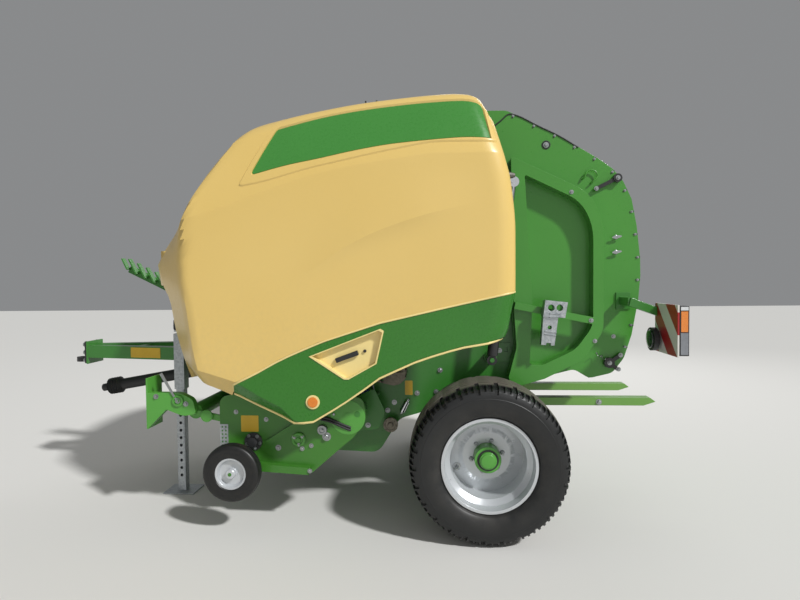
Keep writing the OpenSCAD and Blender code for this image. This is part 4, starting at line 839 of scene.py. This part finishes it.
def band_edges(share, gap):
    """Lower and upper edge of the band's pocket, with round corners at the front and at the upper rear."""
    front, rear = (share - pocket_start) * hood_length, (pocket_end - share) * hood_length
    low = eased(band_low, share) + gap + corner_drop(28, front)
    return low, eased(band_high, share) - gap - corner_drop(16, front) - corner_drop(16, rear)


def hood_lines(share):
    """Heights and insets of the cream shell, from its lower edge over fold, shoulder, lip and the band's
    pocket to its top edge."""
    a, f = straight(hood_split, share), eased(hood_top, share)
    b, c = eased(hood_shoulder, share), eased(hood_lip, share)
    c += corner_drop(38, (share - lip_start) * hood_length) if share > 0.19 else 0
    d, e = eased(band_low, share), eased(band_high, share)
    if 0.206 < share < 0.969:
        d, e = band_edges(share, 0)
    fold = max(a + 6, straight(hood_fold, share))
    lip = -8 if lip_start < share < 0.985 else 0
    pocket = 4 if 0.2176 < share < pocket_end else lip
    main = [(mixed(fold + 3, b - 6, k / 14), 0) for k in range(15)]
    rise = [(b + 6, 0), (mixed(b + 6, c, 0.33), 0), (mixed(b + 6, c, 0.67), 0), (c, 0), (c + 3, lip * 0.2),
            (c + 9, lip * 0.85), (c + 13, lip), (mixed(c + 13, d - 9, 0.5), lip), (d - 9, lip)]
    band = [(mixed(d, e, k / 3), pocket) for k in range(4)]
    brow = [(mixed(e + 9, f, t), lip * min(1, max(0, (0.75 - t) / 0.35)))
            for t in (0, 0.2, 0.4, 0.5, 0.6, 0.7, 0.8, 0.87, 0.94, 1)]
    return [(a, 0), (mixed(a, fold - 3, 0.5), 0), (fold - 3, 0)] + main + rise + band + brow


middle_shares = [0.25 + k * 0.02 for k in range(34)]
shell_shares = ([k * 0.01 for k in range(8)] + [0.08 + k * 0.014 for k in range(4)]
                + [0.136, 0.148, 0.16, 0.175, 0.19, 0.196, 0.2, 0.204, 0.209, 0.213, 0.2174, 0.2178,
                   0.2195, 0.2215, 0.2245, 0.2285, 0.2305, 0.24] + middle_shares
                + [0.92, 0.93, 0.94, 0.95, 0.957, 0.961, 0.964, 0.9656, 0.967, 0.97, 0.975, 0.98, 0.985,
                   0.99, 0.994, 0.998, 1])
hood = hood_shell(shell_shares, hood_lines, hood_wall)
# Room for the roof's hinge knuckles
hinges = (-750, -200)
for x in hinges:
    cut_away(hood, box((0.092, 0.071, 0.2), (x / 1000, -0.8005, 2.855)))
at_axle = [(0, 0, 0)]
on_both("door", (hood, "hood_shell", cream, at_axle, 24, "hood"))
# Hinge straps of folded steel under the top edge, two for each hinge, with the hinge pin between them
strap = box((0.012, 0.122, 0.03), (0, -0.849, 2.852))
with edit():
    pick(lambda middle, normal: normal.y < -0.9)
    bpy.ops.transform.translate(value=(0, 0, 0.012))
break_edges(strap, 0.002)
hinge_pin = turned([(0, -42), (10, -42), (10, 42), (0, 42)], 20)
swing(hinge_pin, 90, "Z")
on_both("door", (strap, "hinge_straps", black_steel, [(x + k, 0, 0) for x in hinges for k in (-37, 37)]),
        (hinge_pin, "hinge_pins", zinc, [(x, 800, 2855) for x in hinges]))

# Green lower part of the hood. A second moulding of the same thickness, coloured through, set in the
# cream bead's frame, with a cut opening for the grip.
green_moulding = enamel("green_moulding", "green_shell", "#2E761C", "#296E18", 0.26, grime=0.02, peel_mm=11)
bead_reach = 14.5


def skirt_lines(share):
    """Heights of the green part between its two beads, with the fold as one of its lines."""
    low = straight(hood_low, share) + bead_reach
    high = straight(hood_split, share) - bead_reach
    fold = min(max(straight(hood_fold, share), low + 8), high - 8)
    return ([(mixed(low, fold - 3, k / 3), 0) for k in range(4)]
            + [(mixed(fold + 3, high, k / 6), 0) for k in range(7)])


skirt_shares = [0.2, 0.206, 0.212, 0.219, 0.23, 0.245, 0.26, 0.278, 0.291, 0.31, 0.33, 0.351, 0.374,
                0.391, 0.402, 0.42, 0.437, 0.446, 0.47, 0.5, 0.528, 0.546, 0.575, 0.61, 0.654, 0.7,
                0.74, 0.775, 0.81, 0.85, 0.889, 0.91, 0.925, 0.94, 0.95, 0.96, 0.972, 0.98, 0.986,
                0.992, 0.997, 1]
skirt = hood_shell(skirt_shares, skirt_lines, hood_wall)
only()
bpy.ops.mesh.primitive_circle_add(vertices=6, radius=1, fill_type="NGON", location=(0, 0, 0))
opening = bpy.context.object
for vertex, (x, z) in zip(opening.data.vertices, [(-1136, 1180), (-911, 1033), (-880, 1033), (-701, 1133),
                                                  (-652, 1342), (-675, 1356)]):
    vertex.co = ((x + 830) * 1.004 / 1000 - 0.83, -1.23, (z - 1190) * 1.004 / 1000 + 1.19)
with edit():
    bpy.ops.mesh.select_all(action="SELECT")
    bpy.ops.mesh.extrude_region_move(TRANSFORM_OT_translate={"value": (0, 0.09, 0)})
    face_out()
cut_away(skirt, opening)
on_both("door", (skirt, "skirt_shell", green_moulding, at_axle, 24, "hood_skirt"))

# Band, bead, grip handle and small fittings of the hoods. The green band is let into its pocket; the bead
# is a bright cream moulding clipped round the green part; the handle is black plastic.
# The band's green is lighter than the skirt's moulding green: a painted reflection of the sky on its
# upward-leaning face.
sky_lit_band_green = enamel("green_band_painted_sky", "green_shell", "#438B3B", "#3E8437", 0.26, grime=0.03, peel_mm=11)
band_shares = ([0.2182, 0.2195, 0.221, 0.2235, 0.227, 0.231, 0.24] + middle_shares
               + [0.92, 0.93, 0.94, 0.948, 0.955, 0.959, 0.962, 0.964, 0.9652])
band = hood_shell(band_shares,
                  lambda share: [(mixed(*band_edges(share, 1), k / 6), 0.5) for k in range(7)], 3)
on_both("door", (band, "band", sky_lit_band_green, at_axle, 24, "hood_band"))
bead = enamel("cream_bead", "cream_shell", "#EFDB96", "#E8D188", 0.3, grime=0.05, peel_mm=11)
finish_node(bead, "hood_trim_left", "hood_trim_right", edge=0.0015, smooth=30)
finish_node(black, "hood_handle_left", "hood_handle_right", edge=0.003)


def acrylic(name, light, dark):
    """Moulded acrylic with prisms behind a smooth face: a saturated colour that seems lit from inside."""
    made, tree, surface = new_finish(name, "lamp_housing", Roughness=0.12, IOR=1.49, Coat_Weight=0.6)
    place = add(tree, "TexCoord").outputs["Object"]
    prisms = add(tree, "TexVoronoi", {"Vector": place, "Scale": 260.0})
    tone = add(tree, "Mix", {0: prisms, 6: light, 7: dark}, data_type="RGBA")
    feed(surface, {"Base Color": tone})
    return made


amber = acrylic("amber_acrylic", "#EC8D22", "#CC6A10")
hood_face = 1193
reflector = turned([(0, 0), (31, 0), (33, -1), (33, -4), (31, -6), (0, -7)], 40)
lock_ring = turned([(0, 0), (13, 0), (13, -5), (10, -7), (5, -7), (4, -3), (0, -3)], 24)
buffer = turned([(0, 0), (30, 0), (31, -6), (24, -16), (18, -44), (12, -60), (0, -62)], 28)
swing(buffer, 90, "Z")
on_both("door", (reflector, "hood_reflector", amber, [(-1113, hood_face + 21.2, 888)]),
        (lock_ring, "hood_lock", zinc, [(-779, hood_face - 38.5, 1262)]),
        (buffer, "rubber_buffer", rubber, [(128, 1062, 2325)]))

# Tailgate. Steel side plates with a welded box frame, joined by a curved sheet over the back; its
# rollers turn in the plates. Rubber strips and screws close the joint along the rim.
gate_green = enamel("gate_green_enamel", "green_enamel", "#479132", "#3F862D", 0.3, grime=0.05)
finish_node(gate_green, "tailgate_plates", edge=0.0025)
finish_node(gate_green, "tailgate_frames", edge=0.006)
finish_node(gate_green, "tailgate_cover", edge=0, smooth=40)
rim_face, frame_face = 634, 734
# Clips along the rim: x, z and turn
rim_spots = [(234, 2824, -63), (380, 2750, -63), (525, 2677, -63), (663, 2593, -58), (802, 2507, -58),
             (927, 2412, -39), (1013, 2280, -25), (1060, 2130, -11), (1085, 1970, -6), (1102, 1808, -6),
             (1102, 1648, 5), (1087, 1487, 10), (1058, 1327, 10), (1017, 1171, 18)]
bolts("rim_screws", "tailgate", 9, [(x, rim_face + 3, z) for x, z, turn in rim_spots])
tab = turned([(0, 0), (5.5, 0), (5.5, -3), (0, -4)], 12)
tab.data.transform(Matrix.Scale(3.2, 4, (1, 0, 0)))
copies(tab, "rim_clips", "tailgate", black, [(x, rim_face, z, turn) for x, z, turn in rim_spots])
bolts("frame_bolts", "tailgate", 15,
      [(780, frame_face, 1224), (936, rim_face, 1246), (620, frame_face, 2262)])
bolts("latch_bolts", "tailgate", 16,
      [(742, frame_face + 45, 1372), (955, rim_face + 36, 2365), (900, rim_face + 36, 1060),
       (808, rim_face + 28, 2294), (978, rim_face + 28, 1115), (963, rim_face + 28, 1015)])
# Coil spring that holds the catch down
catch_out, coil = 672, 11
for side, sign in both_sides:
    pipe("catch_spring_" + side, "tailgate", zinc,
         [(800 + 9 * k, sign * (catch_out + coil * math.cos(1.7 * k)),
           1128 - 5 * k + coil * math.sin(1.7 * k)) for k in range(12)], 2.8)
# Wing screws, and an inspection hole with its bolt
copies(turned([(0, 0), (15, 0), (15, -5), (8, -8), (8, -26), (0, -28)], 20),
       "wing_screws", "tailgate", zinc, [(951, rim_face, z) for z in (1952, 1846)])
blade = turned([(0, 0), (10, 0), (10, -4), (0, -5)], 16)
blade.data.transform(Matrix.Scale(3.4, 4, (1, 0, 0)))
copies(blade, "wing_blades", "tailgate", zinc, [(951, rim_face + 24, z, -8) for z in (1952, 1846)])
copies(turned([(31, 0), (31, -3), (24, -4), (22, -1), (22, 0)], 32),
       "inspection_ring", "tailgate", black_steel, [(465, rim_face, 2614)])
bolts("inspection_bolt", "tailgate", 20, [(465, rim_face, 2614)])
# A wire bow, and the rubber strip along the top edge
for side, sign in both_sides:
    foot, lift = sign * (rim_face - 2), sign * (rim_face + 22)
    pipe("wire_bow_" + side, "tailgate", gate_green,
         [(716, foot, 2364), (722, lift, 2368), (760, lift, 2424), (818, lift, 2392), (776, lift, 2336),
          (776, foot, 2336)], 5)
    pipe("top_seal_" + side, "tailgate", black,
         [(x, sign * (rim_face + 2), z) for x, z in ((84, 2745), (150, 2796), (205, 2838), (240, 2834),
                                                     (420, 2744), (557, 2674), (690, 2590))], 5)

# Wheel chocks and latches. Pressed galvanised chocks with ribs hang on the latch arm; forged steel
# hooks in black enamel lock the rim.
finish_node(galvanised, "wheel_chocks", edge=0.003)
chock_rib = box((0.082, 0.006, 0.009))
with edit():
    pick(lambda middle, normal: normal.y < -0.9)
    bpy.ops.transform.resize(value=(0.94, 1, 0.4))
copies(chock_rib, "chock_ribs", "tailgate", galvanised,
       [(482, 867, 1424), (482, 867, 1402), (452, 857, 1300, 8), (449, 857, 1280, 8)])
finish_node(black_steel, "tailgate_latches", edge=0.003)

# Lamp boards. Aluminium boards with red and white reflecting stripes, on folded brackets, with a
# moulded lamp behind and a round lamp that looks forward.
# The brackets take the walls' dark green: painted shade, as they sit in shade behind the board.
finish_node(dark_green, "lamp_brackets", edge=0.003)
striped, tree, surface = new_finish("reflecting_stripes", "warning_face", Roughness=0.35)
# Reflecting film in stripes 100 mm wide that fall outwards at 45 degrees, slightly milky.
stripe_start, stripe_pitch = 2.17, 0.283
place = add(tree, "TexCoord").outputs["Object"]
axes = add(tree, "SeparateXYZ", {"Vector": place}).outputs
stripe = add(tree, "Math", {0: axes["Y"]}, operation="ABSOLUTE")
for operation, value in (("ADD", axes["Z"]), ("SUBTRACT", stripe_start), ("DIVIDE", stripe_pitch),
                         ("FRACT", 0.0), ("GREATER_THAN", 0.5)):
    stripe = add(tree, "Math", {0: stripe, 1: value}, operation=operation)
tone = add(tree, "Mix", {0: stripe, 6: "#A02326", 7: "#D5D3CC"}, data_type="RGBA")
feed(surface, {"Base Color": tone})
finish_node(striped, "warning_boards", edge=0.003)
finish_node(black, "tail_lamps", edge=0.004)


def lens(name, finish, lowest, highest):
    """A lens with round corners and a raised rim, from its lowest to its highest corner on the left side,
    and its mirror image on the right."""
    middle = (Vector(lowest) + Vector(highest)) / 2
    size = (Vector(highest) - Vector(lowest)) / 1000
    glass = box(size)
    thin = min(range(3), key=lambda i: size[i])
    with edit():
        pick(lambda place, normal: abs(normal[thin]) > 0.9)
        bpy.ops.mesh.inset(thickness=0.005)
        shrink = [1, 1, 1]
        shrink[thin] = 0.6
        bpy.ops.transform.resize(value=shrink)
    break_edges(glass, 0.0012)
    copies(glass, name, "tailgate", finish, [(middle.x, -middle.y, middle.z)])


# Moulded ABS: mid grey, satin, with fine scuffs.
grey = grained("grey_abs", "lamp_housing", 50.0, 6.0, "#6D7075", "#8A8D92", (0.35, 0.55), IOR=1.53)
red = acrylic("red_acrylic", "#B3161A", "#7E0D12")
clear = acrylic("clear_acrylic", "#E6E8E8", "#B9BDBF")
lens("side_lens", amber, (1186, -1153, 1322), (1228, -1149, 1450))
lens("side_reflector", grey, (1184, -1153, 1180), (1230, -1149, 1316))
lens("side_marker", clear, (1184, -1153, 1456), (1230, -1149, 1478))
lens("stop_lens", red, (1234, -1136, 1330), (1240, -1010, 1470))
lens("turn_lens", amber, (1234, -1000, 1330), (1240, -900, 1470))
lens("plate_lens", clear, (1234, -1136, 1190), (1240, -1010, 1310))
# Round forward lamp: its near black green lens is painted shade, as the lamp sits behind the board.
round_lens = turned([(0, 0), (60, 0), (62, -4), (58, -10), (40, -16), (20, -18), (0, -19)], 32)
swing(round_lens, -90, "Z")
copies(round_lens, "front_lens", "tailgate", acrylic("shaded_lens_acrylic", "#2E3A33", "#1A221D"),
       [(1165 - 52, 850, 1250)])

# Tailgate cylinders. Cold-drawn steel barrels in black enamel with chromed rods, pinned at both ends
# between the wall and the tailgate's frame.
finish_node(black_steel, "cylinder_left", "cylinder_right", edge=0.002)
finish_node(chrome, "rod_left", "rod_right", edge=0.001)

# Pickup. Side plates cut from sheet with a folded rail, the tined reel between pressed steel bands,
# and a roller and plate in front that hold the crop down.
pickup_green = enamel("pickup_green_enamel", "green_enamel", "#3E7D26", "#367321", 0.32, grime=0.06)
finish_node(pickup_green, "pickup_frame", edge=0.0025)
finish_node(light_green, "crop_guard", edge=0.003)
band_steel = enamel("band_enamel", "galvanised", "#8F9688", "#7E867A", 0.35, grime=0.15)
finish_node(band_steel, "pickup_bands", edge=0)
finish_node(worn, "pickup_reel", edge=0)
plate_face = 990
sticker("pickup_label", "pickup", at(-1605, -plate_face, 690), 0.122, 0.112)
bolts("pickup_bolts", "pickup", 16,
      [(-1180, plate_face + 50, 385)] + [(x, plate_face, z) for x, z in (
          (-1179, 542), (-1242, 521), (-1490, 720), (-1700, 770), (-1020, 760))])
bolts("guide_bolt", "pickup", 20, [(-1408, plate_face, 526)])
# Covers of the pivot, of the guard's pivot and of the reel's bearing, the hub of its drive, and the catch
copies(turned([(0, 0), (118, 0), (118, -7), (112, -10), (40, -10), (34, -13), (0, -13)], 40),
       "pivot_cover", "pickup", light_green, [(-926, plate_face - 6, 738)])
copies(turned([(0, 0), (42, 0), (42, -8), (36, -12), (0, -12)], 32),
       "guard_cover", "pickup", light_green, [(-1905, plate_face + 2, 742)])
copies(turned([(0, 0), (48, 0), (48, -12), (42, -17), (33, -17), (30, -8), (16, -8), (14, -22),
               (0, -23)], 36),
       "bearing_cover", "pickup", light_green, [(-1265, plate_face, 586)])
bolts("bearing_screws", "pickup", 12, on_circle(35, -1265, plate_face + 14, 586, (0.6, 2.7, 4.8)))
copies(turned([(0, 0), (62, 0), (62, -8), (50, -14), (34, -16), (34, -34), (22, -38), (0, -38)], 30),
       "reel_drive_hub", "pickup", black, [(-1580, plate_face, 568)])
bolts("reel_drive_screws", "pickup", 13,
      on_circle(48, -1580, plate_face + 14, 568, (0.9, 2.2, 3.5, 5.0, 6.1)))
copies(turned([(0, 0), (34, 0), (34, -22), (30, -26), (20, -26), (18, -20), (10, -20), (9, -34),
               (0, -35)], 24),
       "lift_catch", "pickup", zinc, [(-1100, plate_face, 655)])
bolts("lift_catch_bolt", "pickup", 30, [(-1072, plate_face, 606)])
# Perforated strip at the plate's front edge
strip_w, strip_h, across_n, up_n = 0.058, 0.165, 5, 13
only()
bpy.ops.mesh.primitive_grid_add(x_subdivisions=across_n, y_subdivisions=up_n, size=1)
strip = bpy.context.object
strip.scale = (strip_w, strip_h, 1)
bpy.ops.object.transform_apply(scale=True)
with edit():
    pick(lambda middle, normal: int((middle.x / strip_w + 0.5) * across_n) % 2 == 1
         and int((middle.y / strip_h + 0.5) * up_n) % 2 == 1)
    bpy.ops.mesh.delete(type="FACE")
    bpy.ops.mesh.select_all(action="SELECT")
    bpy.ops.mesh.extrude_region_move(TRANSFORM_OT_translate={"value": (0, 0, 0.003)})
    face_out()
swing(strip, 90, "X")
copies(strip, "perforated_strip", "pickup", galvanised, [(-1786, plate_face, 603)])
# Pipes to the reel drive, clipped to the plate
pipe_y = -plate_face - 9
for k, drop in ((1, 0), (2, 18)):
    pipe(f"drive_pipe_{k}", "pickup", black,
         [(-1150, pipe_y + 6, 800 - drop), (-1120, pipe_y, 752 - drop), (-1046, pipe_y, 728 - drop),
          (-958, pipe_y, 690 - drop), (-905, pipe_y + 6, 668 - drop)], 8)
# Boss, lever and screws of the crop guard
guard_face = 1020
copies(turned([(0, 0), (40, 0), (40, -10), (34, -14), (26, -14), (24, -6), (12, -6), (11, -18),
               (0, -19)], 32),
       "guard_boss", "pickup", light_green, [(-2095, guard_face, 852)])
bolts("guard_bolts", "pickup", 18,
      [(-2095, guard_face + 6, 852), (-2040, guard_face, 830), (-2250, guard_face, 880)])
lever = box((0.014, 0.005, 0.2))
with edit():
    pick(lambda middle, normal: normal.z > 0.9)
    bpy.ops.transform.resize(value=(1.6, 1, 1))
    bpy.ops.mesh.extrude_region_move(TRANSFORM_OT_translate={"value": (0, 0, 0.012)})
break_edges(lever, 0.002)
copies(lever, "guard_lever", "pickup", zinc, [(-2152, guard_face + 10, 945, -30)])

# Gauge wheels. Solid rubber tyres vulcanised on pressed silver rims, with a capped hub that turns on
# the pickup's arm.
finish_node(silver, "gauge_rim_left", "gauge_rim_right", edge=0.002)
gauge_section = [(103.3, 40), (108, 45), (120, 47.5), (140, 47.5), (142, 46.5), (146, 46.5), (148, 47.5),
                 (165, 47.5), (178, 42), (184, 36.6), (187, 30), (189, 20), (184, 18.5), (184, 15.5),
                 (190, 14), (190, 6), (185, 4.5)]
gauge_x, gauge_out, gauge_z = -1666, 1165, 413
gauge_rubber = enamel("solid_rubber", "tyre", "#151616", "#101111", 0.42, grime=0.03, Coat_Weight=0)
gauge_tyre = turned(both_halves(gauge_section), 96)
gauge_cap = turned([(0, 0), (33, 0), (33, -10), (27, -18), (0, -21)], 28)
on_both("gauge",
        (gauge_tyre, "gauge_tyre", gauge_rubber, [(gauge_x, gauge_out, gauge_z)], 30, "gauge_wheel"),
        (gauge_cap, "gauge_cap", silver, [(gauge_x, gauge_out + 30, gauge_z)]))

# Stage. A pale painted floor, and studio light: a broad sun from the upper right in front, a weak soft
# box that fills the shade, and another behind.
only()
bpy.ops.mesh.primitive_plane_add(size=60, location=(0, 0, 0))
floor = bpy.context.object
floor.name = "floor"
floor_paint = new_finish("pale_floor", "galvanised", Roughness=0.85, Base_Color="#D9D8D4")[0]
floor.data.materials.append(floor_paint)


def light(name, kind, energy, direction, **settings):
    """A lamp that shines in a direction."""
    data = bpy.data.lights.new(name, kind)
    data.energy = energy
    for key, value in settings.items():
        setattr(data, key, value)
    lamp = bpy.data.objects.new(name, data)
    bpy.context.scene.collection.objects.link(lamp)
    lamp.rotation_euler = Vector(direction).to_track_quat("-Z", "Y").to_euler()
    return lamp


light("key_light", "SUN", 3.1, (-0.60, 0.46, -0.66), angle=math.radians(4))
for name, spot, target, size, watts in (
        ("fill_light", (3.0, -10.0, 4.0), (0.0, -0.5, 1.4), 9.0, 95),
        ("rear_light", (3.0, 7.0, 6.0), (0.0, 0.5, 1.2), 4.5, 160)):
    light(name, "AREA", watts, Vector(target) - Vector(spot), shape="SQUARE", size=size).location = spot
world = bpy.data.worlds.new("studio")
bpy.context.scene.world = world
world.use_nodes = True
feed(world.node_tree.nodes["Background"], {"Color": "#E8EAEC", "Strength": 0.31})
